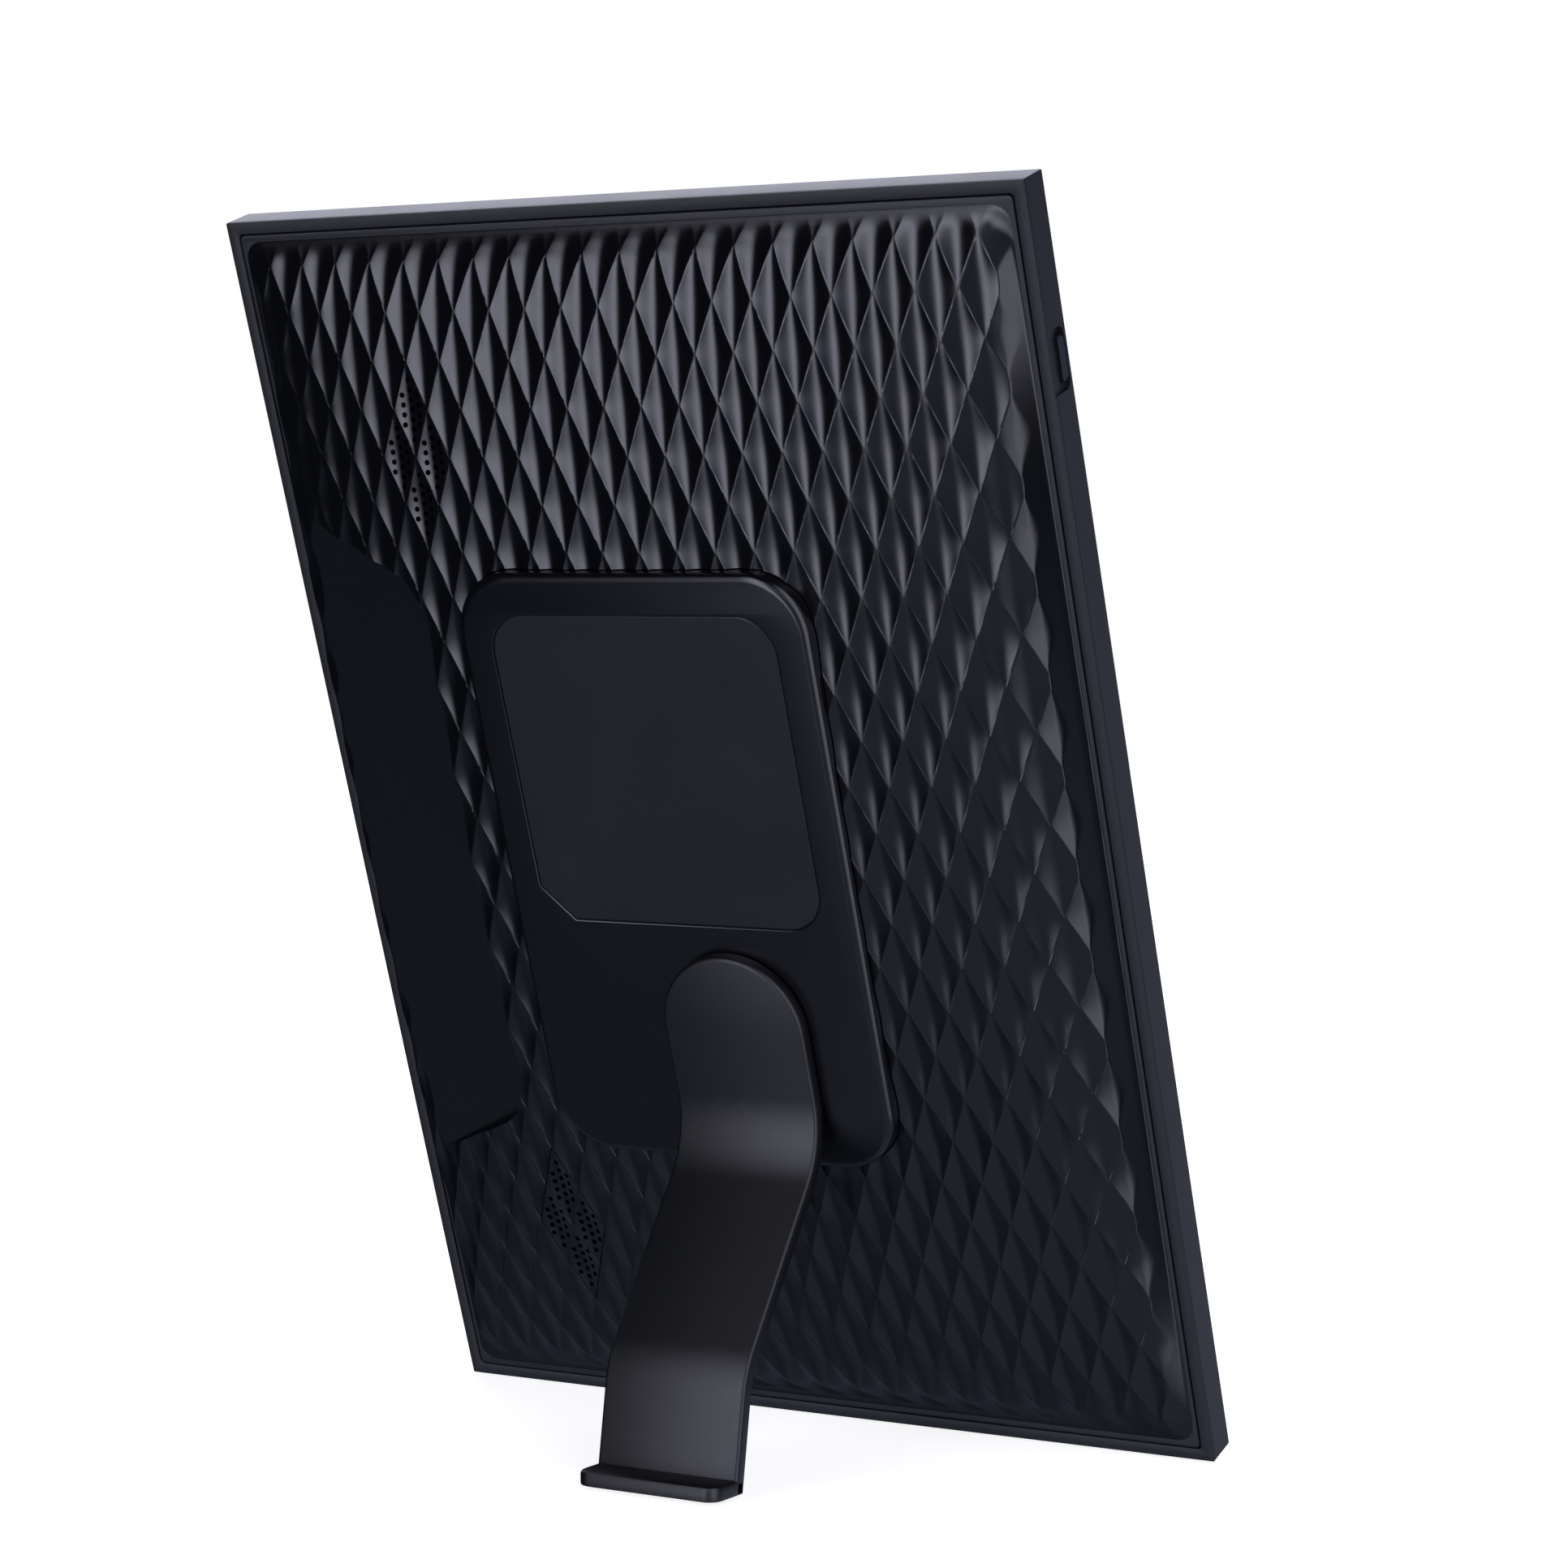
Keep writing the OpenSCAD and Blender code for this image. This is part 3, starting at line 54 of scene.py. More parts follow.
# ---------- panel coordinates: X across, Y towards the back, Z up the panel, in millimetres ----------
LEAN = math.radians(19.3)
SN, CS = math.sin(LEAN), math.cos(LEAN)
Y0 = -40.5932
HW, HH, MID = 90.0, 131.0, 131.0
RIM = 7.7                                             # the rim's depth
PX, PY = 8.42, 18.8                                   # pitch of the diamonds
RISE, AX, AZ, AZ_END, DOME_POWER = 18.0, 86.7, 124.25, 122.6, 0.395
SCOOP, VALLEY, SOFT = 0.68, 0.60, 0.30                # depth of a dimple, and its valley's depth and softness
SHARP_PART, ROUND_PART, RIDGE_PART = 0.42, 0.42, 0.08  # shares of the scoop's three forms
RIDGE = 0.036                                         # half width of a rounded ridge, in pitches
EDGE = (86.4, 126.9, 4.0)                             # half width, half height and corner of the dimpled field
WALL_X, FOOT_X, WALL_MIN = 83.2, 86.1, 0.25           # the long edges' wall: its top, its foot, its least height
END_BLEND, END_START, END_FADE = 12.0, 0.6, 4.5       # how the dimples run out at the short edges
BOSS_W, BOSS_H, BOSS_Y, BOSS_R = 40.0, 62.5, 17.8, 13.0
BAY_X, BAY_STRAIGHT, BAY_R, BAY_SLOPE, BAY_Y = 50.3, 49.0, 14.0, math.radians(24), 7.2
GRILLE_X, GRILLE_Z = 5.5 * PX, 4.5 * PY               # a grille's middle, from the panel's middle
PIV = (-9.0, 99.0)                                    # the leg's pivot
SKIRT_Y = 5.0                                         # how low the skirts inside the cover's openings reach


def world(P):
    """Panel millimetres to metres in the shared frame."""
    P = np.asarray(P, float).reshape(-1, 3)
    return np.stack([P[:, 0], P[:, 1] * CS + P[:, 2] * SN + Y0, -P[:, 1] * SN + P[:, 2] * CS], 1) / 1000


# ---------- mesh helpers ----------
def smooth(me, angle):
    """Smooth shading with edges past the angle kept sharp; an angle of 180 keeps none."""
    me.polygons.foreach_set("use_smooth", [True] * len(me.polygons))
    if angle < 180:
        me.set_sharp_from_angle(angle=math.radians(angle))


def linked(name, me):
    o = bpy.data.objects.new(name, me)
    bpy.context.scene.collection.objects.link(o)
    return o


def make(name, V, F, mat, body, replaces=(), angle=35, slot=None):
    """A visible piece, given in panel millimetres, that rides on a body."""
    me = bpy.data.meshes.new(name)
    me.from_pydata(world(V).tolist(), [], [list(map(int, f)) for f in F])
    me.validate(clean_customdata=False)
    me.update()
    o = linked(name, me)
    smooth(me, angle)
    me.materials.append(mat)
    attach(o, body)
    if replaces:
        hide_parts(*replaces)
    return o


def join(parts):
    """Several (V, F) as one."""
    V, F, n = [], [], 0
    for v, f in parts:
        v = np.asarray(v, float)
        V.append(v)
        F += [[i + n for i in q] for q in f]
        n += len(v)
    return np.vstack(V), F


def arc(cx, cy, r, a, b, n):
    t = np.radians(np.linspace(a, b, n + 1))
    return [(cx + r * math.cos(x), cy + r * math.sin(x)) for x in t]


def circ(cx, cz, r, n=64):
    return arc(cx, cz, r, 0, 360, n)[:-1]


def rrect(cx, cz, hw, hh, r, n=12):
    """Round rectangle, anticlockwise, as (x, z)."""
    r = max(r, 1e-3)
    return (arc(cx + hw - r, cz + hh - r, r, 0, 90, n) + arc(cx - hw + r, cz + hh - r, r, 90, 180, n)
            + arc(cx - hw + r, cz - hh + r, r, 180, 270, n) + arc(cx + hw - r, cz - hh + r, r, 270, 360, n))


def cap(loops, y, flip=False):
    """Flat face at height y: the first loop is the outline and the others are holes."""
    pts = [p for lp in loops for p in lp]
    tris = tessellate_polygon([[Vector((p[0], p[1], 0)) for p in lp] for lp in loops])
    V = [(p[0], y, p[1]) for p in pts]
    out = []
    for t in tris:
        a, b, c = (pts[i] for i in t)
        up = (b[0] - a[0]) * (c[1] - a[1]) - (b[1] - a[1]) * (c[0] - a[0])
        out.append(list(t) if (up < 0) != flip else list(t)[::-1])
    return V, out


def loft(outline, steps, close_top=True, close_low=False, holes=()):
    """Skin through outline(offset) at each (offset, y) of steps, from low to high."""
    V, F = [], []
    for o, y in steps:
        V += [(p[0], y, p[1]) for p in outline(o)]
    m = len(outline(0))
    for k in range(len(steps) - 1):
        for i in range(m):
            j = (i + 1) % m
            a, b = k * m + i, k * m + j
            F.append([a, a + m, b + m, b])
    parts = [(V, F)]
    if close_top:
        parts.append(cap([outline(steps[-1][0])] + list(holes), steps[-1][1]))
    if close_low:
        parts.append(cap([outline(steps[0][0])], steps[0][1], flip=True))
    return join(parts)


def weld(V, F, tol=1e-4):
    """Merges vertices that share a place."""
    V = np.asarray(V, float)
    key = np.round(V / tol).astype(np.int64)
    _, first, inv = np.unique(key, axis=0, return_index=True, return_inverse=True)
    inv = inv.ravel()
    out = []
    for f in F:
        g = [int(inv[i]) for i in f]
        g = [g[i] for i in range(len(g)) if g[i] != g[i - 1]]
        if len(g) >= 3 and len(set(g)) == len(g):
            out.append(g)
    return V[first], out


# ---------- the dimpled cover ----------
def dome(x, dz):
    """Smooth surface over the dimples. Past AZ_END it runs straight down to the short edge."""
    z = np.abs(dz)
    k = math.sqrt(1 - (AZ_END / AZ) ** 2)
    end = np.sqrt(np.clip(1 - (np.minimum(z, AZ_END) / AZ) ** 2, 0, 1))
    end = end - np.maximum(z - AZ_END, 0) * AZ_END / AZ ** 2 / k
    return RISE * np.clip(1 - (x / AX) ** 2, 0, 1) ** DOME_POWER * end


def bowl(t):
    """One direction's share of the scoop, 1 to 0, with the ridge at t = 0.5 rounded off."""
    t = np.abs(t - np.round(t))
    e = 0.5 - RIDGE
    tau = np.clip(t - e, 0, RIDGE)
    base = 0.5 - 2 * np.minimum(t, e) ** 2
    return 2 * (base + np.where(t > e, (-2 + 4 * RIDGE) * tau + (1 - 2 * RIDGE) / RIDGE * tau ** 2, 0))


def relief(x, dz):
    """Depth of the scoop: flanks that meet in a soft valley down the diamond's long diagonal."""
    a, b = x / PX + dz / PY - 0.5, x / PX - dz / PY - 0.5
    u, v = bowl(a), bowl(b)
    across = (a - np.round(a)) + (b - np.round(b))
    m = u * v / (u + v - u * v + 1e-9)
    valley = 1 - VALLEY * (np.sqrt(across ** 2 + SOFT ** 2) - SOFT)
    return SCOOP * (SHARP_PART * m * valley + ROUND_PART * u * v + RIDGE_PART * (u + v))


def inside_rr(x, dz, hw, hh, r):
    """Distance inside a round rectangle about the panel's middle."""
    qx, qz = np.abs(x) - hw + r, np.abs(dz) - hh + r
    d = np.hypot(np.maximum(qx, 0), np.maximum(qz, 0)) + np.minimum(np.maximum(qx, qz), 0) - r
    return -d


def smin(a, b, k):
    """The smaller of a and b, rounded over the width k."""
    h = np.clip(0.5 + 0.5 * (b - a) / k, 0, 1)
    return b * (1 - h) + a * h - k * h * (1 - h)


def ease(t):
    t = np.clip(t, 0, 1)
    return t * t * (3 - 2 * t)


def height(x, dz):
    """The dimpled cover's height over the panel's back."""
    s = inside_rr(x, dz, *EDGE)
    # 1 at the short edges, which run out softly, and 0 at the long edges, which have a wall
    end = ease(0.5 + (EDGE[0] - np.abs(x) - EDGE[1] + np.abs(dz)) / END_BLEND)
    # The wall cuts the outermost diamonds off straight at WALL_X and is rounded between them
    t = np.abs(dz / PY - np.round(dz / PY)) * 2
    side = np.maximum(dome(WALL_X, dz), WALL_MIN) * (FOOT_X - np.abs(x)) / (FOOT_X - WALL_X)
    body = dome(x, dz) - relief(x, dz) * (1 - end * (1 - ease((s - END_START) / END_FADE)))
    rise = smin(body, np.where(side > body + 3, 99, side), 0.15 + 1.1 * ease(t) ** 2)
    return np.maximum(-smin(-rise, 0 * rise, 0.35 + 0.65 * end), 0) * ease(s / (0.2 + 1.1 * end))


def cells(n, centres):
    """Lattice-aligned grid over each diamond: returns points (x, dz) and triangles."""
    e = RIDGE
    t = np.concatenate([[0, e / 2], np.linspace(e, 1 - e, n - 3), [1 - e / 2, 1]])
    A, B = np.meshgrid(t, t, indexing="ij")
    m = len(t)
    idx = np.arange(m * m).reshape(m, m)
    a, b, c, d = idx[:-1, :-1].ravel(), idx[1:, :-1].ravel(), idx[1:, 1:].ravel(), idx[:-1, 1:].ravel()
    tri = np.concatenate([np.stack([a, b, c], 1), np.stack([a, c, d], 1)])
    P, T = [], []
    for k, (cx, cz) in enumerate(centres):
        # A and B run along the two ridges
        x = cx + PX / 2 * (A - B)
        z = cz + PY / 2 * (A + B - 1)
        P.append(np.stack([x.ravel(), z.ravel()], 1))
        T.append(tri + k * m * m)
    P, T = np.vstack(P), np.vstack(T)
    key = np.round(P * 1e4).astype(np.int64)
    _, first, inv = np.unique(key, axis=0, return_index=True, return_inverse=True)
    return P[first], inv.ravel()[T]


def clip(P, T, fn):
    """Keeps where fn(x, dz) >= 0. Returns points, triangles and the cut's segments (as points)."""
    s = fn(P[:, 0], P[:, 1])
    s = np.where(np.abs(s) < 1e-6, 1e-6, s)
    pos = s[T] > 0
    c = pos.sum(1)
    keep = T[c == 3]
    P2, new, segs = list(map(tuple, P)), [], []
    cache = {}

    def cut(i, j):
        k = (min(i, j), max(i, j))
        if k not in cache:
            a, b, sa, sb = P[i], P[j], s[i], s[j]
            lo, hi = (a, b) if sa > 0 else (b, a)
            flo, fhi = (sa, sb) if sa > 0 else (sb, sa)
            for _ in range(6):
                t = flo / (flo - fhi)
                p = lo + (hi - lo) * min(max(t, 0.02), 0.98)
                f = float(fn(p[0:1], p[1:2])[0])
                if f > 0:
                    lo, flo = p, f
                else:
                    hi, fhi = p, f
                if abs(f) < 1e-5:
                    break
            p = lo + (hi - lo) * flo / (flo - fhi)
            cache[k] = len(P2)
            P2.append((p[0], p[1]))
        return cache[k]

    for f, q in zip(T[(c > 0) & (c < 3)], pos[(c > 0) & (c < 3)]):
        poly, cutpts = [], []
        for i in range(3):
            a, b = int(f[i]), int(f[(i + 1) % 3])
            if q[i]:
                poly.append(a)
            if q[i] != q[(i + 1) % 3]:
                k = cut(a, b)
                poly.append(k)
                cutpts.append((k, q[i]))
        for i in range(1, len(poly) - 1):
            new.append((poly[0], poly[i], poly[i + 1]))
        (k1, o1), (k2, _) = cutpts
        segs.append((k1, k2) if o1 else (k2, k1))
    T2 = np.vstack([keep, np.array(new, int).reshape(-1, 3)])
    P2 = np.array(P2)
    used = np.zeros(len(P2), bool)
    used[T2.ravel()] = True
    remap = np.cumsum(used) - 1
    seg = [(P2[a], P2[b]) for a, b in segs]
    return P2[used], remap[T2], seg


def bay(x, dz):
    """Distance inside the connector bay's outline."""
    z = np.abs(dz)
    cx, cz = BAY_X + BAY_R, BAY_STRAIGHT
    end = math.pi / 2 + BAY_SLOPE
    ne = (math.cos(end), math.sin(end))
    dx_, dz_ = x - cx, z - cz
    ang = np.arctan2(dz_, dx_)
    r = np.where(z < cz, -dx_, np.where(ang > end, np.hypot(dx_, dz_), dx_ * ne[0] + dz_ * ne[1]))
    return BAY_R - r


def rhomb(x, dz, sz, g=0.0):
    """Distance outside a grille's diamond, less g."""
    k = math.hypot(1 / PX, 1 / PY)
    return (np.abs(x - GRILLE_X) / PX + np.abs(dz - sz * GRILLE_Z) / PY - 1) / k - g


centres = [(K * PX / 2, M * PY / 2) for K in range(-22, 23) for M in range(-15, 16) if (K + M) % 2]
centres = [c for c in centres if abs(c[0]) < 92 and abs(c[1]) < 138]
P, T = cells(25, centres)
P, T, _ = clip(P, T, lambda x, z: inside_rr(x, z, *EDGE))
Pb, Tb, _ = clip(P, T, lambda x, z: np.minimum(bay(x, z), height(x, z) - BAY_Y))
P, T, bay_seg = clip(P, T, lambda x, z: -np.minimum(bay(x, z), height(x, z) - BAY_Y))
P, T, boss_seg = clip(P, T, lambda x, z: -inside_rr(x, z, BOSS_W + 0.2, BOSS_H + 0.2, BOSS_R + 0.2))
grille_segs = []
for sz in (1, -1):
    P, T, sg = clip(P, T, lambda x, z, sz=sz: rhomb(x, z, sz, 0.2))
    grille_segs.append(sg)


def lift(P, h):
    return np.stack([P[:, 0], h, P[:, 1] + MID], 1)


def upward(V, T):
    """Turns triangles so that they face +Y."""
    T = np.array(T)
    a, b, c = V[T[:, 0]], V[T[:, 1]], V[T[:, 2]]
    n = np.cross(b - a, c - a)[:, 1]
    T[n < 0] = T[n < 0][:, ::-1]
    return T


def curtain(segs, low=None, drop=0.0):
    """Walls that hang from the cut's segments, down to low or by drop."""
    V, F = [], []
    for a, b in segs:
        ha, hb = (float(height(p[0:1], p[1:2])[0]) for p in (a, b))
        la, lb = (ha - drop, hb - drop) if low is None else (low, low)
        n = len(V)
        V += [(a[0], ha, a[1] + MID), (b[0], hb, b[1] + MID), (b[0], lb, b[1] + MID), (a[0], la, a[1] + MID)]
        F.append([n, n + 1, n + 2, n + 3])
    return V, F


def slope_normals(o, V):
    """Gives the dimpled faces the normals of the height function, so that the fine ridges shade cleanly."""
    me, V = o.data, np.asarray(V)
    h = height(V[:, 0], V[:, 2] - MID)
    on = np.abs(V[:, 1] - h) < 2e-3
    e = 0.01
    x, z = V[:, 0], V[:, 2] - MID
    n = np.stack([(height(x - e, z) - height(x + e, z)) / (2 * e), np.ones(len(x)),
                  (height(x, z - e) - height(x, z + e)) / (2 * e)], 1)
    n /= np.linalg.norm(n, axis=1)[:, None]
    n = np.stack([n[:, 0], n[:, 1] * CS + n[:, 2] * SN, -n[:, 1] * SN + n[:, 2] * CS], 1)
    nl = len(me.loops)
    loop_v, cn = np.empty(nl, np.int32), np.empty(nl * 3, np.float32)
    me.loops.foreach_get("vertex_index", loop_v)
    me.corner_normals.foreach_get("vector", cn)
    cn = cn.reshape(-1, 3)
    k = len(me.polygons)
    size, fn = np.empty(k, np.int32), np.empty(k * 3, np.float32)
    me.polygons.foreach_get("loop_total", size)
    me.polygons.foreach_get("normal", fn)
    fn = np.repeat(fn.reshape(-1, 3), size, axis=0)
    face = np.repeat(np.arange(k), size)
    all_on = np.ones(k, bool)
    np.logical_and.at(all_on, face, on[loop_v])
    use = all_on[face] & ((fn * n[loop_v]).sum(1) > 0.5)
    cn[use] = n[loop_v][use]
    me.normals_split_custom_set(cn)


# ---------- materials ----------
def nodes(name):
    """A new material, its tree and its shader."""
    m = bpy.data.materials.new(name)
    m.use_nodes = True
    nt = m.node_tree
    return m, nt, nt.nodes["Principled BSDF"]


def plastic(name, base, rough, grain=2600.0, bump=0.25, speck=0.25, spec=0.5, coat=0.0, cloud=0.06):
    """Moulded plastic: fine grain in colour and bump, and slow clouds in the roughness."""
    m, nt, p = nodes(name)
    tc = nt.nodes.new("ShaderNodeTexCoord")
    n1 = nt.nodes.new("ShaderNodeTexNoise")
    n1.inputs["Scale"].default_value = grain
    n1.inputs["Detail"].default_value = 3.0
    n1.inputs["Roughness"].default_value = 0.65
    n2 = nt.nodes.new("ShaderNodeTexNoise")
    n2.inputs["Scale"].default_value = 60.0
    n2.inputs["Detail"].default_value = 4.0
    nt.links.new(tc.outputs["Object"], n1.inputs["Vector"])
    nt.links.new(tc.outputs["Object"], n2.inputs["Vector"])
    ramp = nt.nodes.new("ShaderNodeMapRange")
    ramp.inputs["From Min"].default_value = 0.35
    ramp.inputs["From Max"].default_value = 0.75
    ramp.inputs["To Min"].default_value = 1.0 - speck
    ramp.inputs["To Max"].default_value = 1.0 + speck
    nt.links.new(n1.outputs["Fac"], ramp.inputs["Value"])
    mul = nt.nodes.new("ShaderNodeVectorMath")
    mul.operation = "SCALE"
    mul.inputs[0].default_value = base
    nt.links.new(ramp.outputs["Result"], mul.inputs["Scale"])
    nt.links.new(mul.outputs["Vector"], p.inputs["Base Color"])
    rr = nt.nodes.new("ShaderNodeMapRange")
    rr.inputs["To Min"].default_value = rough - cloud
    rr.inputs["To Max"].default_value = rough + cloud
    nt.links.new(n2.outputs["Fac"], rr.inputs["Value"])
    nt.links.new(rr.outputs["Result"], p.inputs["Roughness"])
    b = nt.nodes.new("ShaderNodeBump")
    b.inputs["Strength"].default_value = bump
    b.inputs["Distance"].default_value = 0.0001
    nt.links.new(n1.outputs["Fac"], b.inputs["Height"])
    nt.links.new(b.outputs["Normal"], p.inputs["Normal"])
    p.inputs["Specular IOR Level"].default_value = spec
    p.inputs["Coat Weight"].default_value = coat
    return m


def metal(name, base, rough):
    """Metal with drawn-out streaks in its roughness."""
    m, nt, p = nodes(name)
    tc = nt.nodes.new("ShaderNodeTexCoord")
    mp = nt.nodes.new("ShaderNodeMapping")
    mp.inputs["Scale"].default_value = (400.0, 6000.0, 6000.0)
    n1 = nt.nodes.new("ShaderNodeTexNoise")
    n1.inputs["Scale"].default_value = 1.0
    nt.links.new(tc.outputs["Object"], mp.inputs["Vector"])
    nt.links.new(mp.outputs["Vector"], n1.inputs["Vector"])
    rr = nt.nodes.new("ShaderNodeMapRange")
    rr.inputs["To Min"].default_value = rough - 0.08
    rr.inputs["To Max"].default_value = rough + 0.12
    nt.links.new(n1.outputs["Fac"], rr.inputs["Value"])
    nt.links.new(rr.outputs["Result"], p.inputs["Roughness"])
    p.inputs["Base Color"].default_value = (*base, 1)
    p.inputs["Metallic"].default_value = 1.0
    return m


M_COVER = plastic("cover_plastic", (0.0020, 0.0021, 0.0027), 0.16, 10500, 0.16, 0.30, 0.5, 0.0, 0.03)
M_RIM = plastic("rim_plastic", (0.010, 0.0105, 0.0125), 0.50, 7000, 0.35, 0.40, 0.5)
M_EDGE = plastic("cover_edge_plastic", (0.012, 0.0125, 0.0145), 0.50, 7000, 0.35, 0.40, 0.5)
M_LEG = plastic("leg_plastic", (0.0026, 0.0027, 0.0034), 0.36, 8000, 0.35, 0.30, 0.5, 0.0, 0.03)
M_LABEL = plastic("label_film", (0.0065, 0.0067, 0.0078), 0.30, 2200, 0.05, 0.10, 0.5)
M_BUTTON = plastic("button_plastic", (0.003, 0.0032, 0.004), 0.3, 3000, 0.2, 0.25, 0.5)
M_DARK = plastic("inner_black", (0.006, 0.006, 0.007), 0.7, 2000, 0.1, 0.1, 0.2)
M_GLASS = plastic("screen_glass", (0.004, 0.0042, 0.005), 0.08, 300, 0.0, 0.05, 0.5, 0.6, 0.02)
M_VIEW = plastic("screen_view", (0.010, 0.011, 0.013), 0.05, 300, 0.0, 0.05, 0.5, 0.6, 0.01)
M_STEEL = metal("sheet_steel", (0.55, 0.56, 0.57), 0.35)
M_BRASS = metal("brass_part", (0.75, 0.55, 0.25), 0.3)
M_BOARD = plastic("board", (0.012, 0.10, 0.045), 0.4, 900, 0.05, 0.3, 0.5)
M_WHITE = plastic("white_part", (0.70, 0.69, 0.65), 0.45, 2000, 0.1, 0.05, 0.5)
M_FLEX = plastic("flex_film", (0.45, 0.20, 0.05), 0.3, 900, 0.05, 0.1, 0.5)
M_RUBBER = plastic("pad_rubber", (0.012, 0.012, 0.012), 0.8, 1800, 0.5, 0.2, 0.3)

KEPT = {"rim_plastic": M_RIM, "cover_plastic": M_COVER, "leg_plastic": M_LEG, "button_plastic": M_BUTTON,
        "label_film": M_LABEL, "screen_glass": M_GLASS, "display_glass": M_GLASS, "clear_plastic": M_WHITE,
        "tape": M_DARK, "sheet_steel": M_STEEL, "spring_steel": M_STEEL, "screw_steel": M_STEEL,
        "brass_part": M_BRASS, "board": M_BOARD, "chip": M_DARK, "black_part": M_DARK, "white_part": M_WHITE,
        "flex_film": M_FLEX, "foam": M_DARK, "pad_rubber": M_RUBBER}
for s in frame["record"]["subparts"]:
    o = frame["nodes"][s["node"]]
    o.data.materials.clear()
    o.data.materials.append(KEPT[s["material_slot"]])

# ---------- cover shell ----------
V = lift(P, height(P[:, 0], P[:, 1]))
T = upward(V, T)
Vb = lift(Pb, np.full(len(Pb), BAY_Y))
Tb = upward(Vb, Tb)
straight = lambda p: abs(p[0] - BAY_X) < 0.02 and abs(p[1]) < BAY_STRAIGHT + 0.01
top_line = sorted({(round(float(p[1]), 4), float(height(p[0:1], p[1:2])[0])) for a, b in bay_seg
                   if straight(a) and straight(b) for p in (a, b)})
walls = curtain([s for s in bay_seg if not (straight(s[0]) and straight(s[1]))], BAY_Y)

# Ports in the bay's wall: place up the panel, then height range or middle, then half width or radius
JACK_Z, JACK_Y, JACK_R = 104.0, 9.2, 2.6
RESET_Z, RESET_Y, RESET_R = 116, 8.7, 0.7
USB_Z, USB_W, USB_Y = 128, 3.95, (7.4, 10.4)
CARD_Z, CARD_W, CARD_Y = 154, 6.2, (7.8, 9.4)
PORT_DEPTH = 1.8


def port_wall():
    """The bay's straight wall, with its four ports."""
    outline = [(z, h) for z, h in top_line] + [(top_line[-1][0], BAY_Y), (top_line[0][0], BAY_Y)]

    def circle(z, y, r):
        return circ(z - MID, y, r, 28)

    def opening(z, w, y):
        a, b = z - MID - w, z - MID + w
        return [(a, y[0]), (b, y[0]), (b, y[1]), (a, y[1])]

    jack = [(z, max(y, BAY_Y + 0.02)) for z, y in circle(JACK_Z, JACK_Y, JACK_R)]
    holes = [jack, circle(RESET_Z, RESET_Y, RESET_R), opening(USB_Z, USB_W, USB_Y), opening(CARD_Z, CARD_W, CARD_Y)]
    pts = [p for lp in [outline] + holes for p in lp]
    tris = tessellate_polygon([[Vector((p[0], p[1], 0)) for p in lp] for lp in [outline] + holes])
    Vw = [(BAY_X, p[1], p[0] + MID) for p in pts]
    parts = [(Vw, [list(t) for t in tris])]
    for h in holes:
        n = len(h)
        Vh = [(BAY_X, p[1], p[0] + MID) for p in h] + [(BAY_X - PORT_DEPTH, p[1], p[0] + MID) for p in h]
        parts.append((Vh, [[i, (i + 1) % n, n + (i + 1) % n, n + i] for i in range(n)]))
    return join(parts)


flange_out = lambda g: rrect(0, MID, 87.2 - g, 128.2 - g, 1.0 - g * 0.9)
flange_in = rrect(0, MID, *EDGE, 40)
flange = weld(*join([loft(flange_out, [(0, -1.8), (0, -0.25), (0.07, -0.07), (0.25, 0)], close_top=False),
                     cap([flange_out(0.25), flange_in], 0.0)]))
shell = weld(*join([(V, T), (Vb, Tb), walls, port_wall(),
              curtain(grille_segs[0], SKIRT_Y), curtain(grille_segs[1], SKIRT_Y), curtain(boss_seg, SKIRT_Y)]))

# Raised middle, with the label's recess and the pivot's recess
boss_o = lambda o: rrect(0, MID, BOSS_W - o, BOSS_H - o, BOSS_R - o, 16)
LZ = MID + 21.7


def label_out(g):
    h, r, c = 32.2 + g, 8 + g, 7 + g / 2
    return (arc(h - r, LZ + h - r, r, 0, 90, 12) + arc(-h + r, LZ + h - r, r, 90, 180, 12)
            + arc(-h + r, LZ - h + r, r, 180, 270, 12) + [(h - c, LZ - h), (h, LZ - h + c)])


FILLET = 1.7
fil = [(FILLET - FILLET * math.cos(t), BOSS_Y - FILLET + FILLET * math.sin(t))
       for t in np.radians(np.linspace(0, 90, 9))]
hub_o = lambda g: circ(PIV[0], PIV[1], 13.8 + g)
boss = join([
    loft(boss_o, [(0, 6.0)] + fil, holes=[label_out(0.55)[::-1], hub_o(0.25)[::-1]]),
    loft(lambda o: label_out(0.55 - o)[::-1], [(0, BOSS_Y), (0.2, BOSS_Y - 0.06), (0.28, BOSS_Y - 0.3)],
         close_top=False),
    loft(lambda o: hub_o(0.25 - o)[::-1], [(0, BOSS_Y), (0.2, BOSS_Y - 0.1), (0.25, BOSS_Y - 0.85)],
         close_top=False),
    cap([label_out(0.27)], BOSS_Y - 0.3)])
boss = weld(*boss)
cover = make("back_cover_shell", *shell, M_COVER, BODY["back_cover"], ("back_cover",), 40, "cover_plastic")
slope_normals(cover, shell[0])
make("back_cover_flange", *flange, M_EDGE, BODY["back_cover"], (), 40, "cover_plastic")
make("back_cover_middle", *boss, M_COVER, BODY["back_cover"], (), 32, "cover_plastic")

label = loft(lambda o: label_out(-o), [(0, BOSS_Y - 0.3), (0, BOSS_Y - 0.16), (0.1, BOSS_Y - 0.1)])
make("rating_label_film", *label, M_LABEL, BODY["rating_label"], ("rating_label",), 30, "label_film")

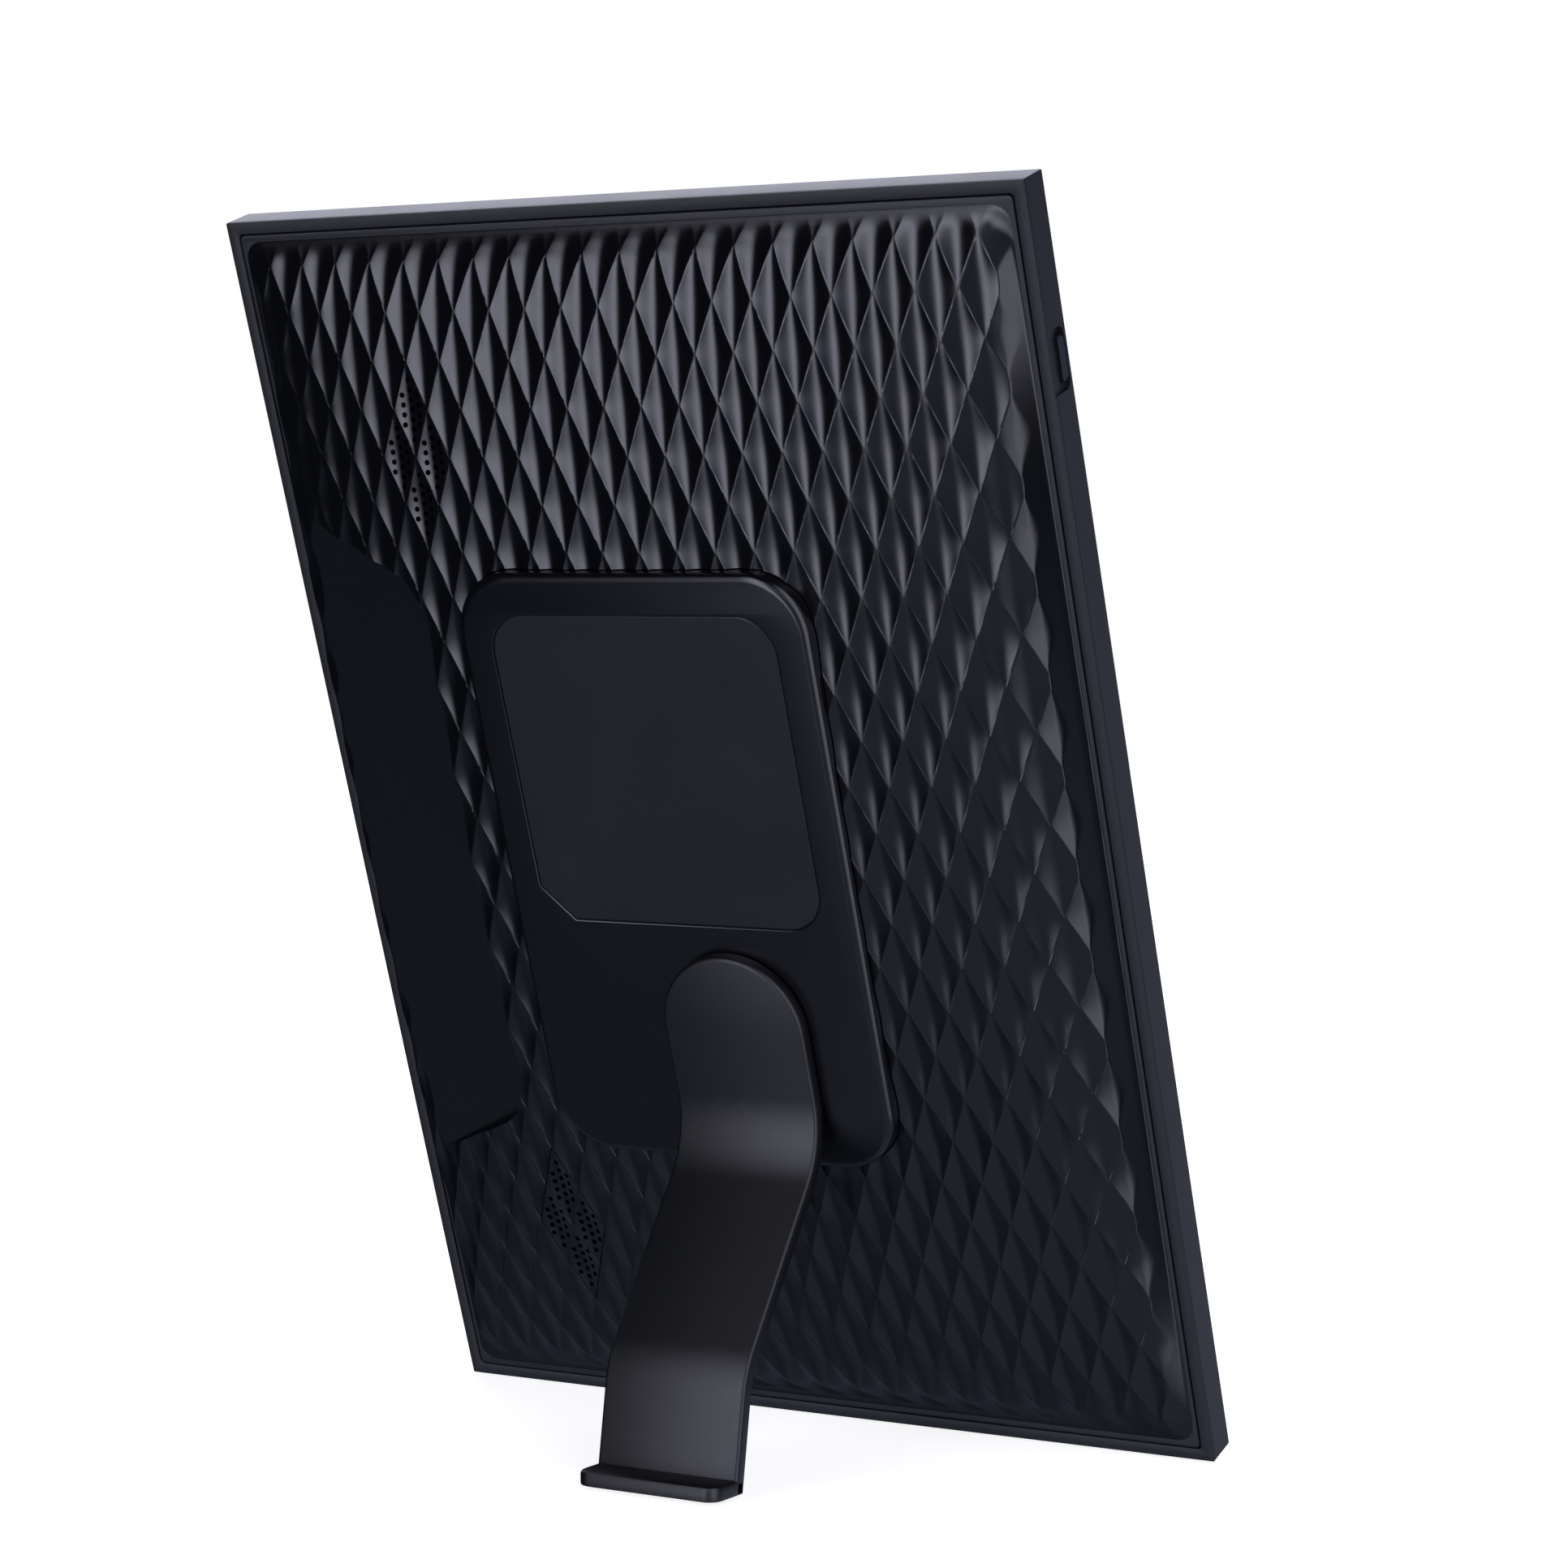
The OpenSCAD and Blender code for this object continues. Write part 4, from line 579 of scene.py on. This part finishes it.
# ---------- grilles ----------
HOLE_R, HOLE_ROW, HOLE_COL, HOLE_DEPTH = 0.55, 1.95, 1.85, 1.4
SIDE_ROWS = (-1.5, -0.5, 0.5, 1.5)
for sz, node in ((1, "speaker_grille_upper"), (-1, "speaker_grille_lower")):
    cx, cz = GRILLE_X, sz * GRILLE_Z
    gc = [(cx + a * PX / 2, cz + b * PY / 2) for a, b in ((1, 0), (-1, 0), (0, 1), (0, -1))]
    hole_xy = [(gx + q * HOLE_COL, gz + i * HOLE_ROW) for gx, gz in gc
               for q, rows in ((0, range(-3, 4)), (1, SIDE_ROWS), (-1, SIDE_ROWS)) for i in rows]
    hx, hz = np.array(hole_xy).T

    def holes_fn(x, z):
        d = np.full(len(x), 9.0)
        for a, b in zip(hx, hz):
            d = np.minimum(d, np.hypot(x - a, z - b))
        return d - HOLE_R

    Pg, Tg = cells(44, gc)
    Pg, Tg, sg = clip(Pg, Tg, holes_fn)
    Vg = lift(Pg, height(Pg[:, 0], Pg[:, 1]))
    Tg = upward(Vg, Tg)
    corners = np.array([(cx + PX, cz), (cx, cz + PY), (cx - PX, cz), (cx, cz - PY)])
    q = np.vstack([a + (b - a) * i / 60 for a, b in zip(corners, np.roll(corners, -1, 0)) for i in range(60)])
    border = curtain([(q[i], q[(i + 1) % len(q)]) for i in range(len(q))], SKIRT_Y + 0.2)
    g = weld(*join([(Vg, Tg), border, curtain(sg, drop=HOLE_DEPTH)]))
    slope_normals(make(node + "_shell", *g, M_COVER, BODY[node], (node,), 40, "cover_plastic"), g[0])
    # A dark sheet that closes the grille's cavity below its holes: painted shade, so the inside seen through the holes
    # reads dark
    shade_sheet = cap([[(cx + 10, cz + MID), (cx, cz + 22 + MID), (cx - 10, cz + MID), (cx, cz - 22 + MID)][::-1]],
                SKIRT_Y + 0.3)
    make(node + "_cloth", *shade_sheet, M_DARK, BODY[node], (), 30, "black_part")


# ---------- rim ----------
def ring(profile, n=6):
    """Closed ring of round rectangles: profile is (inset, corner radius, y), in order round the section."""
    V, F = [], []
    for g, r, y in profile:
        lp = rrect(0, MID, HW - g, HH - g, r, n)
        m = len(lp)
        V += [(p[0], y, p[1]) for p in lp]
    k = len(profile)
    for a in range(k):
        b = (a + 1) % k
        for i in range(m):
            j = (i + 1) % m
            F.append([a * m + i, b * m + i, b * m + j, a * m + j])
    return V, F


# The groove near the back is the line where the rim's two halves part
rim_profile = [(0.25, 0.15, -RIM), (0.08, 0.25, -7.63), (0, 0.3, -7.45), (0, 0.3, -0.62), (0.15, 0.25, -0.57),
               (0.15, 0.25, -0.42), (0, 0.3, -0.37), (0, 0.3, -0.16), (0.05, 0.25, -0.05), (0.16, 0.2, 0),
               (2.3, 0.8, 0), (2.42, 0.9, -0.06), (2.5, 1.0, -0.25), (2.5, 1.1, -1.8), (5.3, 1.1, -1.8),
               (5.3, 1.1, -4.95),
               (21.2, 1.1, -4.95), (21.2, 1.1, -6.35), (1.98, 0.4, -6.35), (1.98, 0.4, -7.55), (1.85, 0.4, -RIM)]
rv, rf = ring(rim_profile)
rim = make("front_bezel_shell", rv, rf, M_RIM, BODY["front_bezel"], ("front_bezel",), 180, "rim_plastic")

# The button's recess: a notch with a sloping floor, and the window that the button comes through
BZ = 227.4
HALF, END_Y = 6.0, -6.7


def prism(section, floor):
    """Closed prism along X, from outside the rim to floor(y): section is (y, z)."""
    m = len(section)
    V = [(-92, y, z) for y, z in section] + [(floor(y), y, z) for y, z in section]
    sides = [[i, m + i, m + (i + 1) % m, (i + 1) % m] for i in range(m)]
    return V, [list(range(m)), list(range(2 * m - 1, m - 1, -1))] + sides


notch = [(-HALF, 1), (HALF, 1), (HALF, END_Y + 1.6), (HALF - 0.25, END_Y + 0.8), (HALF - 0.8, END_Y + 0.25),
         (HALF - 1.6, END_Y), (1.6 - HALF, END_Y), (0.8 - HALF, END_Y + 0.25), (0.25 - HALF, END_Y + 0.8),
         (-HALF, END_Y + 1.6)]
notch = prism([(y, BZ + z) for z, y in notch], lambda y: -HW + 0.02 + 1.18 * (1 - y) / (1 - END_Y))
window = prism(rrect(-5.3, BZ, 1.35, 4.65, 1.0, 6), lambda y: -80)
cutters = []
for name, solid in (("notch_tool", notch), ("window_tool", window)):
    me = bpy.data.meshes.new(name)
    me.from_pydata(world(solid[0]).tolist(), [], solid[1])
    bm = bmesh.new()
    bm.from_mesh(me)
    bmesh.ops.recalc_face_normals(bm, faces=bm.faces)
    bm.to_mesh(me)
    bm.free()
    cutters.append(linked(name, me))
    md = rim.modifiers.new(name, "BOOLEAN")
    md.operation = "DIFFERENCE"
    md.solver = "EXACT"
    md.object = cutters[-1]
bpy.context.view_layer.update()
baked = bpy.data.meshes.new_from_object(rim.evaluated_get(bpy.context.evaluated_depsgraph_get()))
rim.modifiers.clear()
rim.data = baked
for c in cutters:
    bpy.data.objects.remove(c)
smooth(baked, 25)

# Power button: a bar with round ends
bar = lambda o: rrect(-5.3, BZ, 1.2 - o, 4.5 - o, 1.15 - o, 8)
bv, bf = loft(bar, [(0, 0), (0, 2.0), (0.12, 2.3), (0.4, 2.42)])
bv = np.asarray(bv)
bv = np.stack([-87.4 - bv[:, 1], bv[:, 0], bv[:, 2]], 1)
make("power_button_cap", bv, [f[::-1] for f in bf], M_BUTTON, BODY["power_button"], (), 40, "button_plastic")

# ---------- leg ----------
HEAD_Y, LEG_T, LEG_W = 18.1, 3.0, 16.0
A1, A2 = math.radians(54.5), math.radians(28.5)
R1, R2, RUN = 19.5, 18.5, 36.0
hd = lambda a: np.array([math.sin(a), -math.cos(a)])     # along the leg, at a bend angle
nb = lambda a: np.array([math.cos(a), math.sin(a)])      # square to it, outwards
p1 = np.array([HEAD_Y + LEG_T / 2, PIV[1] - 14.0])
p2 = p1 + R1 * (nb(0) - nb(A1))
p3 = p2 + RUN * hd(A1)
p4 = p3 + R2 * (nb(A2) - nb(A1))
lev = lambda p: p[1] * CS - p[0] * SN
fp4 = p4 - LEG_T / 2 * nb(A2)
foot_run = (lev(fp4) - 0.3) / math.cos(A2 - LEAN)
heel = fp4 + foot_run * hd(A2)


def mid_line():
    """Stations (distance, point, angle) down the leg's middle, from the head's top."""
    out = []
    top = PIV[1] + LEG_W
    zs = top - LEG_W * (1 - np.cos(np.linspace(0, math.pi / 2, 25)))
    zs = list(zs) + list(np.linspace(PIV[1], p1[1], 8)[1:])
    for z in zs:
        out.append((top - z, np.array([p1[0], z]), 0.0))
    s = top - p1[1]
    for a in np.linspace(0, A1, 29)[1:]:
        out.append((s + R1 * a, p1 + R1 * (nb(0) - nb(a)), a))
    s += R1 * A1
    for t in np.linspace(0, RUN, 12)[1:]:
        out.append((s + t, p2 + t * hd(A1), A1))
    s += RUN
    for a in np.linspace(A1, A2, 17)[1:]:
        out.append((s + R2 * (A1 - a), p3 + R2 * (nb(a) - nb(A1)), a))
    s += R2 * (A1 - A2)
    for t in np.linspace(0, foot_run - 0.1, 6)[1:]:
        out.append((s + t, p4 + t * hd(A2), A2))
    return out


# Inset and height of each loop round the leg's section
levels = [(0.5, -1.5), (0.15, -1.35), (0.0, -1.0), (0.0, 0.7), (0.06, 0.95), (0.24, 1.26), (0.55, 1.44), (0.8, 1.5)]


def strip(st, levels, width):
    """Closed skin round the strip: for each level a loop of left and right points."""
    V, F = [], []
    rows = len(st)
    for o, nrm in levels:
        for d, p, a in st:
            r = width - o
            dd = max(d, o)
            w_ = math.sqrt(max(r * r - (width - dd) ** 2, 0)) if dd < width else r
            q = p + nb(a) * nrm
            if d < o:
                q = q - np.array([0, o - d]) if a == 0 else q
            V.append((PIV[0] - w_, q[0], q[1]))
            V.append((PIV[0] + w_, q[0], q[1]))
    L = 2 * rows
    for k in range(len(levels) - 1):
        for i in range(rows - 1):
            for sd in (0, 1):
                a, b = k * L + 2 * i + sd, k * L + 2 * (i + 1) + sd
                f = [a, b, b + L, a + L]
                F.append(f if sd else f[::-1])
        F.append([k * L + 1, k * L + L + 1, k * L + L, k * L])
        e = 2 * (rows - 1)
        F.append([k * L + e, k * L + L + e, k * L + L + e + 1, k * L + e + 1])
    top = (len(levels) - 1) * L
    for i in range(rows - 1):
        F.append([top + 2 * i, top + 2 * i + 1, top + 2 * i + 3, top + 2 * i + 2])
        F.append([2 * i, 2 * i + 2, 2 * i + 3, 2 * i + 1])
    return V, F


leg = strip(mid_line(), levels, LEG_W)
# Lip: a plate with two round corners, level on the table
lb, lu = np.array([CS, SN]), np.array([-SN, CS])


def lip_plan(o, r=3.0, n=8):
    h, e = LEG_W - o, 10.5 - o
    r = max(r - o, 0.05)
    return ([(-h, 0.55 + o), (h, 0.55 + o)] + arc(h - r, e - r, r, 0, 90, n) + arc(-h + r, e - r, r, 90, 180, n))


lv, lf = loft(lip_plan, [(0.45, 0), (0.12, 0.12), (0, 0.45), (0, 2.3), (0.2, 2.75), (0.7, 3.0)], close_low=True)
lv = np.asarray(lv)
lip3 = [(PIV[0] + v[0], *(heel + v[2] * lb + v[1] * lu)) for v in lv]
make("stand_leg_shell", *weld(*join([leg, (lip3, lf)])), M_LEG, BODY["stand_leg"], ("stand_leg",), 30, "leg_plastic")

# ---------- front glass ----------
glass_o = lambda o: rrect(0, MID, 87.9 - o, 128.9 - o, 0.4 - o * 0.5, 4)
picture = rrect(0, MID, 67.8, 108.5, 0.3, 4)
gv, gf = loft(glass_o, [(0, 0), (0, 0.95), (0.12, 1.1)], holes=[picture[::-1]])
gv = np.asarray(gv)
gv[:, 1] = -6.5 - gv[:, 1]
make("cover_glass_face", gv, [f[::-1] for f in gf], M_GLASS, BODY["cover_glass"], ("cover_glass",), 30, "screen_glass")
vv, vf = cap([picture], -7.6, flip=True)
make("cover_glass_picture", vv, vf, M_VIEW, BODY["cover_glass"], (), 30, "screen_glass")

# ---------- camera, solved from the panel's corners ----------
CAM = Vector((-0.42157, 0.69239, 0.17353))
right = Vector((-0.861505, -0.507745, 0.002667))
down = Vector((-0.026421, 0.03958, -0.998869))
fwd = Vector((0.507068, -0.860597, -0.047517))
cam = bpy.data.cameras.new("camera")
cam.lens = 36 * 4974.95 / 1932
cam.sensor_width = 36
co = linked("camera", cam)
co.matrix_world = Matrix.Translation(CAM) @ Matrix((right, -down, -fwd)).transposed().to_4x4()
bpy.context.scene.camera = co


def math_node(nt, op, *values):
    n = nt.nodes.new("ShaderNodeMath")
    n.operation = op
    for i, v in enumerate(values):
        if isinstance(v, (int, float)):
            n.inputs[i].default_value = v
        else:
            nt.links.new(v, n.inputs[i])
    return n.outputs[0]


def step(nt, v, at, soft):
    """0 below, 1 above, with a soft edge of that half width."""
    n = nt.nodes.new("ShaderNodeMapRange")
    n.interpolation_type = "SMOOTHSTEP"
    n.inputs["From Min"].default_value = at - soft
    n.inputs["From Max"].default_value = at + soft
    nt.links.new(v, n.inputs["Value"])
    return n.outputs["Result"]


# ---------- studio: soft boxes round the object, given by azimuth (from +Y towards +X) and elevation ----------
wd = bpy.data.worlds.new("studio")
bpy.context.scene.world = wd
wd.use_nodes = True
wn = wd.node_tree
tc = wn.nodes.new("ShaderNodeTexCoord")
xyz = wn.nodes.new("ShaderNodeSeparateXYZ")
wn.links.new(tc.outputs["Generated"], xyz.inputs["Vector"])
DEG = 180 / math.pi
azim = math_node(wn, "MULTIPLY", math_node(wn, "ARCTAN2", xyz.outputs["X"], xyz.outputs["Y"]), DEG)
elev = math_node(wn, "MULTIPLY", math_node(wn, "ARCSINE", xyz.outputs["Z"]), DEG)
BOXES = [  # azimuth from, to, edge; elevation from, to, edge; strength
    (5.5, 27, 3.5, -27, 38, 5, 4.0),
    (-84, -40, 4, -35, 60, 6, 2.1),
    (-40, 5.5, 4, 8, 38, 6, 0.7),
    (-40, 5.5, 4, -30, 8, 5, 0.25),
    (112, 175, 10, 18, 80, 10, 2.8),
    (-178, -110, 12, -34, 2, 9, 0.40),
    (-178, -110, 12, 2, 75, 9, 0.12),
]
total = None
for a0, a1, ae, e0, e1, ee, k in BOXES:
    m = math_node(wn, "SUBTRACT", step(wn, azim, a0, ae), step(wn, azim, a1, ae))
    v = math_node(wn, "SUBTRACT", step(wn, elev, e0, ee), step(wn, elev, e1, ee))
    m = math_node(wn, "MULTIPLY", math_node(wn, "MULTIPLY", m, v), k)
    total = m if total is None else math_node(wn, "ADD", total, m)
# The table's light from below, less of it past the right-hand side
near = math_node(wn, "SUBTRACT", 0.33, math_node(wn, "MULTIPLY", step(wn, azim, 34, 8), 0.21))
low = math_node(wn, "MULTIPLY", math_node(wn, "SUBTRACT", 1.0, step(wn, elev, -29, 5)), near)
total = math_node(wn, "ADD", math_node(wn, "ADD", total, low), 0.013)
lp = wn.nodes.new("ShaderNodeLightPath")
mx = wn.nodes.new("ShaderNodeMix")
mx.data_type = "FLOAT"
wn.links.new(lp.outputs["Is Camera Ray"], mx.inputs["Factor"])
wn.links.new(total, mx.inputs["A"])
mx.inputs["B"].default_value = 1.0
bg = wn.nodes["Background"]
tint = wn.nodes.new("ShaderNodeMix")
tint.data_type = "RGBA"
tint.inputs["A"].default_value = (0.80, 0.96, 1.40, 1)
tint.inputs["B"].default_value = (0.96, 0.975, 1.15, 1)
wn.links.new(math_node(wn, "MINIMUM", total, 1.0), tint.inputs["Factor"])
white = wn.nodes.new("ShaderNodeMix")
white.data_type = "RGBA"
white.inputs["B"].default_value = (1, 1, 1, 1)
wn.links.new(tint.outputs["Result"], white.inputs["A"])
wn.links.new(lp.outputs["Is Camera Ray"], white.inputs["Factor"])
wn.links.new(white.outputs["Result"], bg.inputs["Color"])
wn.links.new(mx.outputs["Result"], bg.inputs["Strength"])

# Floor: white to the camera, with the frame's soft shadow
fm = bpy.data.materials.new("floor")
fm.use_nodes = True
nt = fm.node_tree
for n in list(nt.nodes):
    nt.nodes.remove(n)
out = nt.nodes.new("ShaderNodeOutputMaterial")
em = nt.nodes.new("ShaderNodeEmission")
em.inputs["Color"].default_value = (1, 1, 1, 1)
em.inputs["Strength"].default_value = 0.84
df = nt.nodes.new("ShaderNodeBsdfDiffuse")
df.inputs["Color"].default_value = (0.5, 0.5, 0.5, 1)
mx = nt.nodes.new("ShaderNodeMixShader")
lp2 = nt.nodes.new("ShaderNodeLightPath")
nt.links.new(lp2.outputs["Is Camera Ray"], mx.inputs["Fac"])
nt.links.new(df.outputs["BSDF"], mx.inputs[1])
both = nt.nodes.new("ShaderNodeAddShader")
nt.links.new(em.outputs["Emission"], both.inputs[0])
nt.links.new(df.outputs["BSDF"], both.inputs[1])
nt.links.new(both.outputs["Shader"], mx.inputs[2])
nt.links.new(mx.outputs["Shader"], out.inputs["Surface"])
me = bpy.data.meshes.new("floor")
me.from_pydata([(-3, -3, -0.0004), (3, -3, -0.0004), (3, 3, -0.0004), (-3, 3, -0.0004)], [], [(0, 1, 2, 3)])
me.materials.append(fm)
floor = linked("floor", me)
floor.visible_glossy = False
floor.visible_shadow = False

bpy.context.scene.view_settings.view_transform = "Standard"
